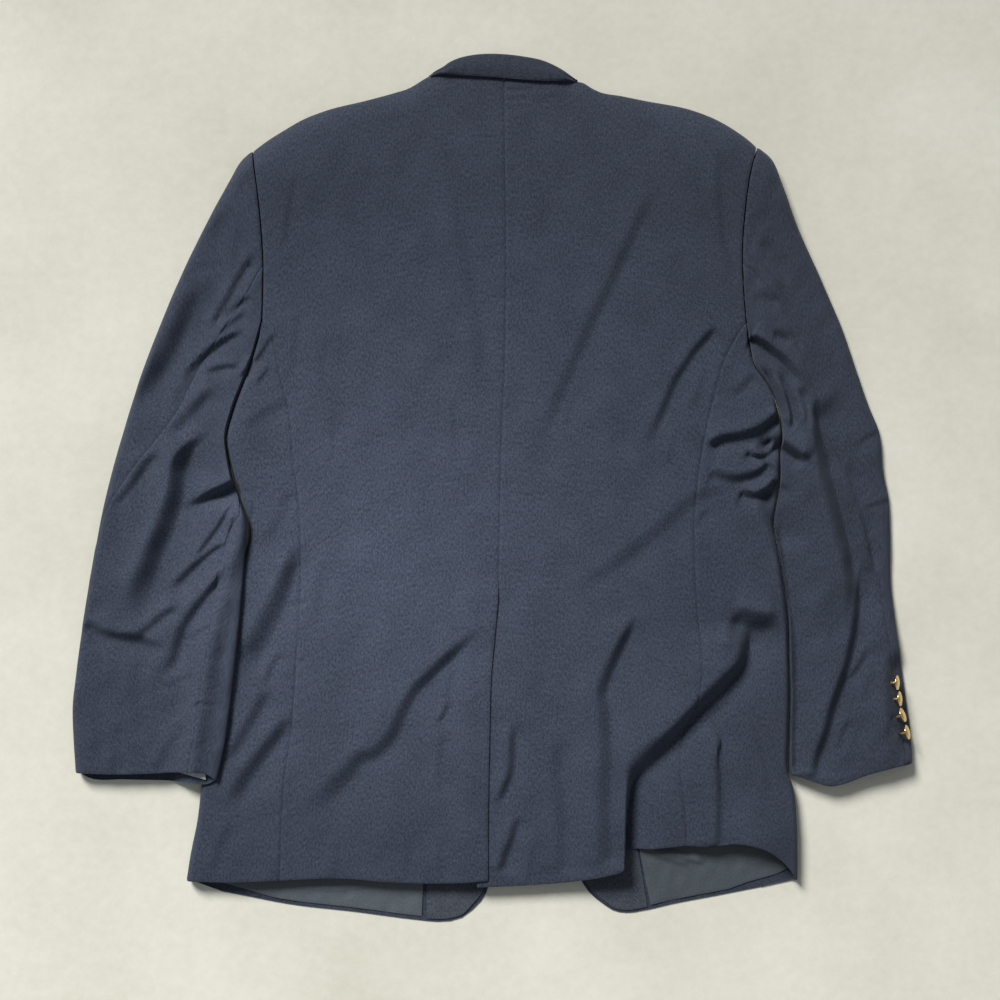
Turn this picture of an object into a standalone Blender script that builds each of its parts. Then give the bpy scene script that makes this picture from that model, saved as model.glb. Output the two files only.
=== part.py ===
"""A navy wool blazer laid face down on the floor, back uppermost, built from its cut pieces.

Every piece of cloth is a wall on a smooth surface. The tables give the laid-out jacket in
millimetres: across to the right and up towards the collar, from the middle of the space that it
covers. The fronts lie on the floor, the side panels wrap round from them, and the back and the
sleeves lie over the top with a low hollow inside.
"""

from collections import namedtuple

import bpy
import numpy as np
from mathutils import Matrix, Vector
from mathutils.bvhtree import BVHTree

MM = 0.001

# Driving dimensions: a man's 46 regular, as it lies
BACK_LENGTH = 800.0
SHOULDER_WIDTH = 505.0
CHART_BACK_LENGTH = 800.0
CHART_SHOULDER_WIDTH = 505.0

# Middle of the space that it covers
MIDDLE = (-0.2, 0.9)

# Cloth
WOOL = 1.6
COLLAR_WALL = 2.0
LINING = 0.9
SEAM_GAP = 0.5
FRONT_TRIM = 0.7
LAYER_GAP = 0.5

# How the layers lie
SHOULDER_EDGE = 9.0
SHOULDER_REACH = 24.0
SIDE_REACH = 10.0
SLEEVE_REACH = 12.0
LAPEL_LIFT = WOOL + LAYER_GAP
VENT_LIFT = WOOL + 0.9
COLLAR_RISE = 3.4
COLLAR_PRESS = 1.0
COLLAR_FOLD_REACH = 3.2
OVER_BODY = 16.0

# Buttons
BUTTON_SIZE = 15.0
BUTTON_SIDES = 12
SHANK_GAP = 0.35

# Outlines of the cut pieces, as they lie: across, up
CENTRE_SEAM = [
    (11, 418), (12, 321), (13, 276), (13, 230), (12, 142), (9, 60), (7, -10), (6, -70), (5, -112),
]
VENT_OVER = [
    (5, -112), (1, -153), (-2, -189), (-3, -225), (-4, -270), (-5, -330), (-5, -390),
]
VENT_UNDER = [
    (5, -112), (-5, -153), (-12, -189), (-14, -225), (-15, -270), (-16, -330), (-16, -397),
]
NECK_LEFT = [(11, 418), (-6, 418), (-28, 416), (-48, 412), (-69, 406)]
NECK_RIGHT = [(11, 418), (34, 416), (56, 412), (76, 407), (93, 401)]
SHOULDER_LEFT = [
    (-69, 406), (-76, 404), (-96, 398), (-127, 390), (-167, 380), (-192, 370), (-209, 360),
    (-225, 350), (-240, 339),
]
SHOULDER_RIGHT = [
    (93, 401), (104, 398), (129, 394), (151, 390), (200, 380), (225, 370), (242, 360), (256, 350),
    (264, 343),
]
ARMHOLE_LEFT = [(-240, 339), (-235, 305), (-231, 266), (-229, 232), (-229, 200), (-230, 168)]
ARMHOLE_RIGHT = [(264, 343), (257, 322), (253, 300), (250, 272), (248, 238), (249, 205), (252, 167)]
SIDE_BACK_SEAM_LEFT = [
    (-230, 168), (-219, 148), (-214, 120), (-206, 90), (-202, 65), (-200, 34), (-194, -13),
    (-192, -60), (-193, -110), (-196, -160), (-202, -243), (-208, -287), (-211, -330), (-213, -390),
]
SIDE_BACK_SEAM_RIGHT = [
    (252, 167), (240, 148), (230, 127), (220, 91), (211, 52), (204, 6), (201, -40), (202, -85),
    (205, -127), (207, -173), (203, -210), (190, -247), (187, -277), (191, -311), (194, -355),
]
SIDE_EDGE_LEFT = [
    (-233, 155), (-239, 136), (-247, 113), (-260, 77), (-266, 50), (-263, 32), (-258, 11),
    (-252, -10), (-244, -34), (-245, -52), (-254, -80), (-266, -130), (-278, -190), (-287, -250),
    (-292, -295), (-296, -330), (-303, -365), (-307, -391),
]
SIDE_EDGE_RIGHT = [
    (254, 154), (257, 140), (261, 125), (273, 106), (285, 82), (288, 60), (287, 40), (286, 6),
    (283, -15), (280, -33), (283, -51), (289, -85), (294, -124), (295, -160), (296, -210),
    (295, -250), (295, -280), (301, -300), (304, -330), (305, -391),
]
SIDE_FRONT_SEAM_LEFT = [
    (-223, 156), (-221, 120), (-220, 60), (-219, 0), (-220, -60), (-226, -120), (-236, -190),
    (-248, -270), (-258, -340), (-271, -404),
]
SIDE_FRONT_SEAM_RIGHT = [
    (244, 155), (243, 120), (243, 60), (244, 0), (246, -60), (251, -130), (256, -200),
    (260, -280), (264, -340), (269, -399),
]
BACK_HEM_LEFT = [(-5, -390), (-28, -392), (-70, -393), (-113, -391), (-150, -388), (-213, -390)]
BACK_HEM_RIGHT = [
    (-16, -397), (32, -395), (85, -390), (112, -384), (128, -378), (133, -364), (162, -359),
    (194, -355),
]
SIDE_HEM_LEFT = [(-213, -390), (-260, -392), (-307, -391)]
SIDE_HEM_RIGHT = [
    (194, -355), (210, -356), (228, -354), (244, -353), (259, -355), (275, -361), (288, -370),
    (305, -391),
]
FRONT_EDGE_LEFT = [
    (-69, 406), (-50, 330), (-28, 220), (-8, 100), (4, 20), (7, -30), (8, -120), (8, -220),
    (7, -300), (4, -350), (-1, -385), (-9, -409), (-20, -421),
]
FRONT_EDGE_RIGHT = [
    (93, 401), (76, 330), (52, 220), (30, 100), (16, 20), (13, -30), (13, -90), (16, -150),
    (24, -200), (36, -250), (51, -305), (67, -350), (87, -390), (97, -405), (112, -417),
]
FRONT_HEM_LEFT = [
    (-20, -421), (-30, -429), (-42, -433), (-56, -434), (-77, -432), (-139, -424), (-207, -416),
    (-249, -408), (-271, -404),
]
FRONT_HEM_RIGHT = [
    (112, -417), (122, -423), (135, -425), (150, -423), (181, -416), (223, -408), (269, -399),
]
LAPEL_FOLD_LEFT = [(-62, 385), (-50, 330), (-28, 220), (-8, 100), (4, 20), (7, -30)]
LAPEL_FOLD_RIGHT = [(88, 385), (76, 330), (52, 220), (30, 100), (16, 20), (13, -30)]
LAPEL_EDGE_LEFT = [(-150, 262), (-134, 190), (-96, 110), (-42, 30), (-6, -16), (3, -34)]
LAPEL_EDGE_RIGHT = [(174, 262), (158, 190), (120, 110), (66, 30), (28, -16), (17, -34)]
LAPEL_TOP_LEFT = [(-62, 385), (-100, 345), (-132, 300), (-150, 262)]
LAPEL_TOP_RIGHT = [(88, 385), (126, 345), (157, 300), (174, 262)]
COLLAR_FOLD = [
    (-64, 417), (-57, 420), (-43, 426), (-31, 431), (-17, 434), (-3, 435), (9, 435), (25, 433),
    (41, 430), (57, 426), (72, 419), (86, 411),
]
COLLAR_FALL_EDGE = [
    (-66, 410), (-40, 413), (-15, 412), (13, 409), (40, 407), (66, 406), (88, 403),
]
SLEEVE_OUTER_LEFT = [
    (-240, 339), (-250, 330), (-262, 310), (-289, 260), (-304, 230), (-330, 170), (-353, 110),
    (-372, 50), (-388, -10), (-400, -70), (-410, -130), (-418, -190), (-421, -220), (-420, -250),
    (-418, -283),
]
SLEEVE_OUTER_RIGHT = [
    (264, 343), (277, 332), (288, 307), (302, 268), (327, 213), (350, 160), (364, 119), (378, 80),
    (386, 61), (391, 18), (396, -7), (398, -40), (399, -97), (403, -131), (410, -180), (415, -215),
    (419, -243), (420, -273),
]
SLEEVE_INNER_LEFT = [
    (-231, 168), (-235, 155), (-241, 135), (-249, 112), (-264, 77), (-271, 50), (-269, 32), (-263, 11), (-256, -10),
    (-247, -34), (-246, -52), (-248, -80), (-251, -118), (-255, -160), (-260, -200), (-267, -253), (-275, -289),
]
SLEEVE_INNER_RIGHT = [
    (253, 167), (256, 154), (259, 140), (264, 124), (277, 105), (289, 82), (292, 60), (291, 40), (289, 6),
    (287, -15), (284, -33),
    (285, -51), (291, -85), (296, -124), (297, -160), (298, -210), (297, -250), (297, -285),
]
CUFF_LEFT = [
    (-418, -283), (-372, -284), (-338, -283), (-311, -281), (-295, -281), (-284, -283), (-275, -289),
]
CUFF_LOWER_LEFT = [
    (-418, -283), (-407, -289), (-370, -291), (-326, -292), (-300, -293), (-284, -293), (-275, -289),
]
CUFF_RIGHT = [
    (420, -273), (394, -279), (373, -285), (352, -293), (338, -296), (321, -292), (306, -287),
    (297, -285),
]
FACING_LEFT = [(-67, -340), (-67, -396), (-69, -427)]
FACING_RIGHT = [(141, -335), (145, -364), (157, -418)]

# The two seams of each sleeve down its length, as shares of the way round from the outer edge:
# 0 to 1 over the top to the inner edge, 1 to 2 back underneath
SeamPlace = namedtuple("SeamPlace", "down hindarm forearm")
SLEEVE_SEAMS_LEFT = [
    SeamPlace(0.00, 0.55, 1.15), SeamPlace(0.18, 0.48, 1.15), SeamPlace(0.35, 0.33, 1.12),
    SeamPlace(0.52, 0.14, 1.06), SeamPlace(0.62, 0.04, 0.98), SeamPlace(0.70, -0.05, 0.86),
    SeamPlace(0.85, -0.12, 0.82), SeamPlace(1.00, -0.15, 0.80),
]
SLEEVE_SEAMS_RIGHT = [
    SeamPlace(0.00, 0.54, 1.14), SeamPlace(0.10, 0.41, 1.13), SeamPlace(0.22, 0.38, 1.09),
    SeamPlace(0.33, 0.34, 1.02), SeamPlace(0.42, 0.31, 0.96), SeamPlace(0.54, 0.25, 0.93),
    SeamPlace(0.65, 0.16, 0.97), SeamPlace(0.73, 0.11, 1.00), SeamPlace(0.86, 0.10, 1.03),
    SeamPlace(1.00, 0.09, 1.04),
]

# The buttons of the right cuff: middle of each, its height, and the way that it faces
Button = namedtuple("Button", "across up height facing tilt")
BUTTONS = [
    Button(402.6, -192, 19.4, 3, 25), Button(405.2, -208, 19.4, 6, 25),
    Button(408.2, -224, 19.0, 24, 25), Button(413.0, -241.5, 18.0, 16, 25),
]

# Height of the cloth above the floor down the body and the sleeves
Loft = namedtuple("Loft", "up back sleeve")
LOFTS = [
    Loft(-440, 15.5, 16.5), Loft(-250, 16.0, 16.5), Loft(-50, 16.5, 16.5), Loft(120, 17.5, 16.5),
    Loft(250, 19.5, 18.5), Loft(345, 21.0, 20.0), Loft(400, 18.5, 20.0), Loft(440, 16.5, 20.0),
]

Mound = namedtuple("Mound", "across up reach_across reach_up rise")
MOUNDS = [
    Mound(-196, 318, 62, 44, 7), Mound(216, 322, 62, 44, 7),
    Mound(258, -352, 40, 34, 7), Mound(262, 70, 24, 34, 5), Mound(-246, 62, 20, 40, 4),
    Mound(390, -235, 22, 60, 4),
]

# Folds: the line that each follows, how far it rises (or sinks), and how far it spreads to the
# left and to the right of that line
Fold = namedtuple("Fold", "line rise left right")
FOLDS = [
    Fold([(-5, -128), (-57, -172), (-105, -238), (-172, -303), (-200, -345)], 4.0, 14, 30),
    Fold([(-42, 310), (-33, 231), (-20, 150), (-14, 80)], -2.2, 17, 17),
    Fold([(158, 300), (120, 228), (104, 170), (95, 110)], -2.4, 16, 18),
    Fold([(224, 312), (226, 261), (240, 204)], -2.0, 11, 11),
    Fold([(226, 170), (199, 142), (180, 112), (163, 80), (150, 50)], -3.6, 11, 13),
    Fold([(232, 140), (212, 108), (196, 70), (180, 20)], 4.0, 14, 12),
    Fold([(205, 48), (239, 55), (262, 62), (282, 72)], -3.5, 9, 9),
    Fold([(258, 50), (270, 34), (286, 18)], -4.0, 8, 8),
    Fold([(204, 28), (236, 20), (272, 30)], 5.0, 13, 13),
    Fold([(248, -22), (262, -20), (288, -18)], -4.0, 9, 9),
    Fold([(200, -5), (175, -22), (140, -40)], -1.8, 14, 16),
    Fold([(139, -120), (112, -173), (107, -199), (109, -231), (114, -285)], -2.6, 11, 13),
    Fold([(252, -112), (246, -160), (208, -198), (160, -240), (133, -266), (127, -300),
          (127, -350), (127, -430)], 10.0, 9, 56),
    Fold([(226, -245), (222, -288), (222, -330), (222, -420)], 3.5, 8, 24),
    Fold([(-197, -45), (-216, -105), (-240, -152)], -3.0, 12, 13),
    Fold([(-205, -205), (-240, -272), (-280, -345)], -2.2, 14, 14),
    Fold([(22, -270), (10, -310), (18, -340), (8, -420)], -1.6, 12, 12),
    Fold([(-296, 215), (-314, 145), (-350, 85)], -3.0, 13, 14),
    Fold([(-276, 62), (-315, 34), (-327, -23), (-348, -80), (-382, -138)], -4.6, 11, 13),
    Fold([(-335, 60), (-350, -15), (-374, -85)], 3.0, 14, 14),
    Fold([(-266, 6), (-285, -6), (-315, -18)], -4.5, 8, 9),
    Fold([(-276, -50), (-306, -80), (-328, -106)], -3.2, 9, 9),
    Fold([(-284, -70), (-292, -104), (-312, -142), (-322, -168), (-342, -190)], -3.2, 9, 10),
    Fold([(-410, -132), (-372, -148), (-325, -158)], -3.2, 9, 9),
    Fold([(-392, -118), (-355, -130), (-322, -118)], 3.0, 10, 10),
    Fold([(258, 158), (276, 139), (294, 121), (318, 96)], -4.2, 9, 10),
    Fold([(316, 98), (321, 43), (331, -12), (349, -65), (352, -130)], -5.0, 10, 12),
    Fold([(290, 50), (304, 40), (320, 26)], -4.5, 8, 9),
    Fold([(362, -34), (366, -97), (359, -149), (345, -187), (331, -234), (320, -277), (315, -320)],
         -5.0, 10, 12),
    Fold([(402, -160), (407, -188), (411, -213), (416, -243), (419, -268)], -8.0, 14, 6),
]

# Grid counts
BACK_COLUMNS = 18
NECK_COLUMNS = 4
ARMHOLE_ROWS = 8
SEAM_ROWS = 12
VENT_ROWS = 12
SLEEVE_ROWS = 18
ARC = 3
FLAT = 8


def graded(rows):
    """A chart's rows as points, graded to the driving dimensions."""
    points = np.array(rows, float)
    return points * (SHOULDER_WIDTH / CHART_SHOULDER_WIDTH, BACK_LENGTH / CHART_BACK_LENGTH)


def through(points, knots=None):
    """A smooth curve through points, by the share of its length or by knots."""
    points = np.array(points, float)
    if knots is None:
        steps = np.linalg.norm(np.diff(points, axis=0), axis=1)
        knots = np.concatenate([[0], np.cumsum(steps)]) / steps.sum()
    knots = np.array(knots, float)
    slopes = np.gradient(points, knots, axis=0)

    def at(share):
        share = np.clip(share, knots[0], knots[-1])
        i = np.clip(np.searchsorted(knots, share, side="right") - 1, 0, len(knots) - 2)
        span = knots[i + 1] - knots[i]
        t = (share - knots[i]) / span
        if points.ndim > 1:
            t, span = t[..., None], span[..., None]
        return (
            points[i] * (1 + 2 * t) * (1 - t) ** 2
            + slopes[i] * span * t * (1 - t) ** 2
            + points[i + 1] * t**2 * (3 - 2 * t)
            + slopes[i + 1] * span * t**2 * (t - 1)
        )

    return at


def outline(rows, cells):
    """Points along an outline, at even spaces."""
    fine = through(graded(rows))(np.linspace(0, 1, 400))
    steps = np.concatenate([[0], np.cumsum(np.linalg.norm(np.diff(fine, axis=0), axis=1))])
    places = np.linspace(0, steps[-1], cells + 1)
    return np.stack([np.interp(places, steps, fine[:, k]) for k in (0, 1)], axis=1)


def joined(*outlines):
    """Outlines end to end as one."""
    return np.concatenate([outlines[0]] + [line[1:] for line in outlines[1:]])


def by_height(rows):
    """A column of values down the body, as a function of the height up the chart."""
    rows = sorted(rows)
    return through([row[1] for row in rows], [row[0] for row in rows])


def across_at(rows):
    """How far across an outline lies, as a function of the height up the chart."""
    return by_height([(up, across) for across, up in graded(rows)])


def ease(share):
    """0 to 1 with level ends."""
    share = np.clip(share, 0, 1)
    return share * share * (3 - 2 * share)


def mixed(first, second, share):
    return first * (1 - share) + second * share


def unit(vectors):
    return vectors / np.maximum(np.linalg.norm(vectors, axis=-1, keepdims=True), 1e-9)


def coons(top, bottom, start, end):
    """A grid of plan points between four outlines, top and bottom along the first index."""
    a = np.linspace(0, 1, len(top))[:, None, None]
    b = np.linspace(0, 1, len(start))[None, :, None]
    return (
        (1 - b) * top[:, None] + b * bottom[:, None] + (1 - a) * start[None] + a * end[None]
        - (1 - b) * ((1 - a) * top[0] + a * top[-1])
        - b * ((1 - a) * bottom[0] + a * bottom[-1])
    )


def fold_rise(fold, plan):
    """What one fold adds to the height of the cloth at each plan point."""
    line = outline(fold.line, 48)
    ahead = np.gradient(line, axis=0)
    apart = plan[..., None, :] - line
    near = (apart**2).sum(axis=-1).argmin(axis=-1)
    apart = np.take_along_axis(apart, near[..., None, None], axis=-2)[..., 0, :]
    ahead = ahead[near]
    size = np.linalg.norm(ahead, axis=-1)
    along = (near + (apart * ahead).sum(axis=-1) / size**2) / (len(line) - 1)
    aside = (ahead[..., 0] * apart[..., 1] - ahead[..., 1] * apart[..., 0]) / size
    spread = np.where(aside > 0, fold.left, fold.right)
    taper = ease(along / 0.2) * ease((1 - along) / 0.2)
    return fold.rise * taper * np.exp(-((aside / spread) ** 2))


def folded(plan):
    """What all folds and mounds add to the height of the cloth at each plan point."""
    rise = np.zeros(plan.shape[:-1])
    for mound in MOUNDS:
        away = ((plan[..., 0] - mound.across) / mound.reach_across) ** 2
        away = away + ((plan[..., 1] - mound.up) / mound.reach_up) ** 2
        rise = rise + mound.rise * np.exp(-away)
    for fold in FOLDS:
        rise = rise + fold_rise(fold, plan)
    return rise


back_loft = by_height([(loft.up, loft.back) for loft in LOFTS])
sleeve_loft = by_height([(loft.up, loft.sleeve) for loft in LOFTS])


def nearest_on(line, plan):
    """Distance from each plan point to an outline, and that outline's direction there."""
    apart = np.linalg.norm(plan[..., None, :] - line, axis=-1)
    return apart.min(axis=-1), np.gradient(line, axis=0)[apart.argmin(axis=-1)]


def back_height(plan):
    return back_loft(plan[..., 1]) + folded(plan)


def vent_height(plan):
    """The left back lies over the right back's underlap below the top of the vent."""
    over = across_at(CENTRE_SEAM + VENT_OVER[1:])(plan[..., 1])
    near = ease(1 - (over - plan[..., 0] - 20) / 24)
    return back_height(plan) + VENT_LIFT * ease((-84 - plan[..., 1]) / 26) * near


def over_body(plan):
    """How far the left sleeve's lower layer climbs over the edge of the body."""
    up = plan[..., 1]
    inward = plan[..., 0] - across_at(SIDE_EDGE_LEFT)(up)
    return (back_height(plan) + 1.2) * ease((inward + 38) / 34) * ease((0 - up) / 30)


def sleeve_height_left(plan):
    away, _ = nearest_on(outline(ARMHOLE_LEFT, 60), plan)
    loft = mixed(back_loft(plan[..., 1]), sleeve_loft(plan[..., 1]), ease(away / 60))
    return loft + folded(plan) + 0.78 * over_body(plan)


def sleeve_height_right(plan):
    away, _ = nearest_on(outline(ARMHOLE_RIGHT, 60), plan)
    return mixed(back_loft(plan[..., 1]), sleeve_loft(plan[..., 1]), ease(away / 60)) + folded(plan)


def on_floor(plan):
    return np.zeros(plan.shape[:-1])


def front_height(fold, edge, top, away):
    """Lower face of a front: on the floor, and over its own lapel folded back beneath it."""
    outer = across_at(edge[::-1] + top[::-1][1:])

    def height(plan):
        beyond = (plan[..., 0] - outer(plan[..., 1])) * away
        up = plan[..., 1]
        return LAPEL_LIFT * ease(1 - (beyond - 40) / 16) * ease((up + 90) / 20)

    return height


def facing_up(height, plan):
    """Direction square to the cloth that a height function describes."""
    step = 0.8
    slopes = [
        (height(plan + np.array(move) * step) - height(plan - np.array(move) * step)) / (2 * step)
        for move in ((1.0, 0.0), (0.0, 1.0))
    ]
    return unit(np.stack([-slopes[0], -slopes[1], np.ones_like(slopes[0])], axis=-1))


def lifted(plan, height):
    return np.concatenate([plan, height[..., None]], axis=-1)


def shoulder_roll(plan, shoulder, away):
    """Turn of the cloth over the shoulder line, and the way out across that line."""
    line = outline(shoulder, 120)
    distance, ahead = nearest_on(line, plan)
    turn = np.arccos(1 - np.clip(distance / SHOULDER_REACH, 0, 1))
    out = unit(np.stack([ahead[..., 1], -ahead[..., 0], np.zeros_like(turn)], axis=-1) * -away)
    return turn, out


def back_cloth(plan, height, shoulder, away):
    """Outer face of a back panel and the directions square to it."""
    turn, out = shoulder_roll(plan, shoulder, away)
    level = height(plan)
    level = SHOULDER_EDGE + (level - SHOULDER_EDGE) * np.sin(turn)
    square = facing_up(height, plan) * np.sin(turn)[..., None] + out * np.cos(turn)[..., None]
    return lifted(plan, level), unit(square)


def front_cloth(plan, height, shoulder, away):
    """Outer (lower) face of a front panel and the directions square to it."""
    turn, out = shoulder_roll(plan, shoulder, away)
    level = height(plan)
    edge = SHOULDER_EDGE - SEAM_GAP
    level = edge + (level - edge) * np.sin(turn)
    square = -facing_up(height, plan) * np.sin(turn)[..., None] + out * np.cos(turn)[..., None]
    return lifted(plan, level), unit(square)


def side_cloth(seam, edge, front_seam, hem, away, flat=6, under=3):
    """Outer face of a side panel, from the back seam over the edge to the front seam beneath."""
    rim = through(graded(hem))
    share = np.linspace(0, 1, len(seam))[None, :]
    width = np.linalg.norm(edge - seam, axis=1)[None, :]
    tuck = np.linalg.norm(front_seam - edge, axis=1)[None, :]
    reach = np.minimum(SIDE_REACH, 0.8 * np.minimum(width, tuck))
    turns = np.linspace(0, np.pi / 2, ARC + 1)[:, None]
    arc = reach * (1 - np.cos(turns))
    flats = np.linspace(0, 1, flat + 1)[:-1, None]
    from_edge = np.concatenate([width + (reach - width) * flats, arc[::-1]])
    top_turn = np.concatenate([np.full_like(flats, np.pi / 2), turns[::-1]])
    t = 1 - from_edge / width
    across = lambda first, last, t: first[None] * (1 - t[..., None]) + last[None] * t[..., None]
    plan = across(seam, edge, t) + (rim(t) - across(seam[-1:], edge[-1:], t)) * share[..., None] ** 3
    ahead = np.gradient(edge, axis=0)
    out = unit(np.stack([ahead[:, 1], -ahead[:, 0], np.zeros(len(edge))], axis=-1) * -away)[None]
    top = back_height(plan)
    level = top / 2 + top / 2 * np.sin(top_turn)
    square = facing_up(back_height, plan) * np.sin(top_turn)[..., None]
    square = unit(square + out * np.cos(top_turn)[..., None])
    upper = lifted(plan, level)
    flats = np.linspace(0, 1, under + 1)[1:, None]
    from_edge = np.concatenate([arc[1:], reach + (tuck - reach) * flats])
    turn = np.concatenate([turns[1:], np.full_like(flats, np.pi / 2)])
    beneath = across(edge, front_seam, from_edge / tuck)
    middle = back_height(edge[None]) / 2
    lower = lifted(beneath, middle * (1 - np.sin(turn)))
    down = np.array([0.0, 0.0, -1.0]) * np.sin(turn)[..., None] + out * np.cos(turn)[..., None]
    return np.concatenate([upper, lower]), np.concatenate([square, unit(down)])


def sleeve_round(place):
    """Station round a sleeve for a share of the way round it."""
    whole = 4 * ARC + 2 * FLAT
    stops = [0, 0.09, 0.91, 1, 1.09, 1.91, 2]
    marks = [0, ARC, ARC + FLAT, 2 * ARC + FLAT, 3 * ARC + FLAT, 3 * ARC + 2 * FLAT, whole]
    return np.interp(np.mod(place, 2), stops, marks) + whole * np.floor(np.asarray(place) / 2)


def sleeve_cloth(stations, shape):
    """Outer face of a sleeve at stations round it (first index) and down it (second)."""
    head, cuff, low_cuff, outer, inner, above, beneath, away = shape
    whole = 4 * ARC + 2 * FLAT
    stations = np.mod(stations, whole)
    under = stations > whole / 2
    r = np.where(under, whole - stations, stations)
    down = np.linspace(0, 1, len(outer))[None, :]
    width = np.linalg.norm(inner - outer, axis=1)[None, :]
    reach = mixed(SHOULDER_REACH, SLEEVE_REACH, ease(down * 6)) + 0 * r
    inner_reach = np.full_like(r, SLEEVE_REACH)
    turn_out = np.clip(r / ARC, 0, 1) * np.pi / 2
    turn_in = np.clip((2 * ARC + FLAT - r) / ARC, 0, 1) * np.pi / 2
    middle = 1 - (1 - np.clip((r - ARC) / FLAT, 0, 1)) ** 1.25
    first, last = reach / width, 1 - inner_reach / width
    share = np.where(
        r < ARC,
        first * (1 - np.cos(turn_out)),
        np.where(r > ARC + FLAT, 1 - (1 - last) * (1 - np.cos(turn_in)), mixed(first, last, middle)),
    )
    head, cuff, low_cuff = (through(graded(rows)) for rows in (head, cuff, low_cuff))
    s, d = share[..., None], down[..., None]
    ends = ((1 - s) * outer[0] + s * inner[0], (1 - s) * outer[-1] + s * inner[-1])
    plan = (1 - s) * outer[None] + s * inner[None]
    hem = np.where(under[..., None], low_cuff(share), cuff(share))
    plan = plan + (1 - d) * (head(share) - ends[0]) + d * (hem - ends[1])
    top, low = above(plan), beneath(plan)
    rim = mixed(np.minimum(SHOULDER_EDGE, top / 2), (top + low) / 2, ease(down * 6))
    rim = np.where(r > ARC + FLAT / 2, (top + low) / 2, rim)
    turn = np.minimum(turn_out, turn_in)
    level = rim + (np.where(under, low, top) - rim) * np.sin(turn)
    sides = []
    for line, sign in ((outer, away), (inner, -away)):
        ahead = np.gradient(line, axis=0)
        sides.append(unit(np.stack([ahead[:, 1], -ahead[:, 0], 0 * ahead[:, 0]], axis=-1) * -sign))
    out = np.where((r < ARC + FLAT / 2)[..., None], sides[0][None], sides[1][None])
    square = np.where(under[..., None], -facing_up(beneath, plan), facing_up(above, plan))
    square = unit(square * np.sin(turn)[..., None] + out * np.cos(turn)[..., None])
    return lifted(plan, level), square


def collar_cloth():
    """Outer face of the collar: the fall on top, the fold, and the stand beneath it."""
    columns = 12
    fall, fold = outline(COLLAR_FALL_EDGE, columns), outline(COLLAR_FOLD, columns)
    seam = outline(NECK_LEFT[::-1] + NECK_RIGHT[1:], 2 * columns)
    width = np.linalg.norm(fold - fall, axis=1)
    back = unit(fall - fold)
    reach = np.minimum(COLLAR_FOLD_REACH, 0.4 * width)
    ahead = np.gradient(fold, axis=0)
    out = unit(np.stack([-ahead[:, 1], ahead[:, 0], 0 * ahead[:, 0]], axis=-1))
    above, points, squares = np.array([0.0, 0.0, 1.0]), [], []
    for share in (1, 0.66, 0.33, 0):
        plan = fold + back * (reach + (width - reach) * share)[:, None]
        bulge = 1.2 * np.sin(share * np.pi) - COLLAR_PRESS * share**2
        points.append(lifted(plan, back_height(plan) + COLLAR_RISE + bulge))
        squares.append(np.broadcast_to(above, (len(plan), 3)))
    for angle in (60, 30, 0, -30, -60, -90):
        turn = np.radians(angle)
        plan = fold + back * (reach * (1 - np.cos(turn)))[:, None]
        half = (COLLAR_RISE + COLLAR_WALL) / 2
        level = back_height(plan) - COLLAR_WALL + half * (1 + np.sin(turn))
        points.append(lifted(plan, level))
        squares.append(unit(out * np.cos(turn) + above * np.sin(turn)))
    room = np.minimum(width * 0.5, 11.5)
    for share in (0.5, 1):
        plan = fold + back * (reach + (room - reach) * share)[:, None]
        points.append(lifted(plan, back_height(plan) - COLLAR_WALL))
        squares.append(np.broadcast_to(-above, (len(plan), 3)))
    return np.stack(points), np.stack(squares)


def material_named(name, colour, roughness, metallic=0.0):
    material = bpy.data.materials.new(name)
    material.use_nodes = True
    shader = material.node_tree.nodes["Principled BSDF"]
    shader.inputs["Base Color"].default_value = (*colour, 1.0)
    shader.inputs["Roughness"].default_value = roughness
    shader.inputs["Metallic"].default_value = metallic
    material.diffuse_color = (*colour, 1.0)
    return material


def add_solid(name, vertices, faces, look):
    """A closed mesh in metres, with its faces turned outward."""
    vertices = (np.array(vertices) - (*MIDDLE, 0)) * MM
    triangles = []
    for face in faces:
        triangles += [(face[0], face[k], face[k + 1]) for k in range(1, len(face) - 1)]
    corners = vertices[np.array(triangles)]
    volume = np.einsum("ij,ij->i", corners[:, 0], np.cross(corners[:, 1], corners[:, 2])).sum()
    if volume < 0:
        triangles = [triangle[::-1] for triangle in triangles]
    mesh = bpy.data.meshes.new(name)
    mesh.from_pydata([tuple(vertex) for vertex in vertices], [], triangles)
    mesh.validate()
    mesh.materials.append(material_named(name, *look))
    solid = bpy.data.objects.new(name, mesh)
    bpy.context.collection.objects.link(solid)
    return solid


def trimmed(grid, gap):
    """The grid with each edge row brought in by a gap."""
    for axis in (0, 1):
        grid = np.moveaxis(grid, axis, 0)
        start, end = unit(grid[1] - grid[0]) * gap, unit(grid[-2] - grid[-1]) * gap
        grid = np.concatenate([[grid[0] + start], grid[1:-1], [grid[-1] + end]])
        grid = np.moveaxis(grid, 0, axis)
    return grid


def extended(grid, row, reach):
    """The grid with its first (0) or last (-1) row moved outward."""
    neighbour = 1 if row == 0 else -2
    moved = grid.copy()
    moved[:, row] += unit(grid[:, row] - grid[:, neighbour]) * reach
    return moved


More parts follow.
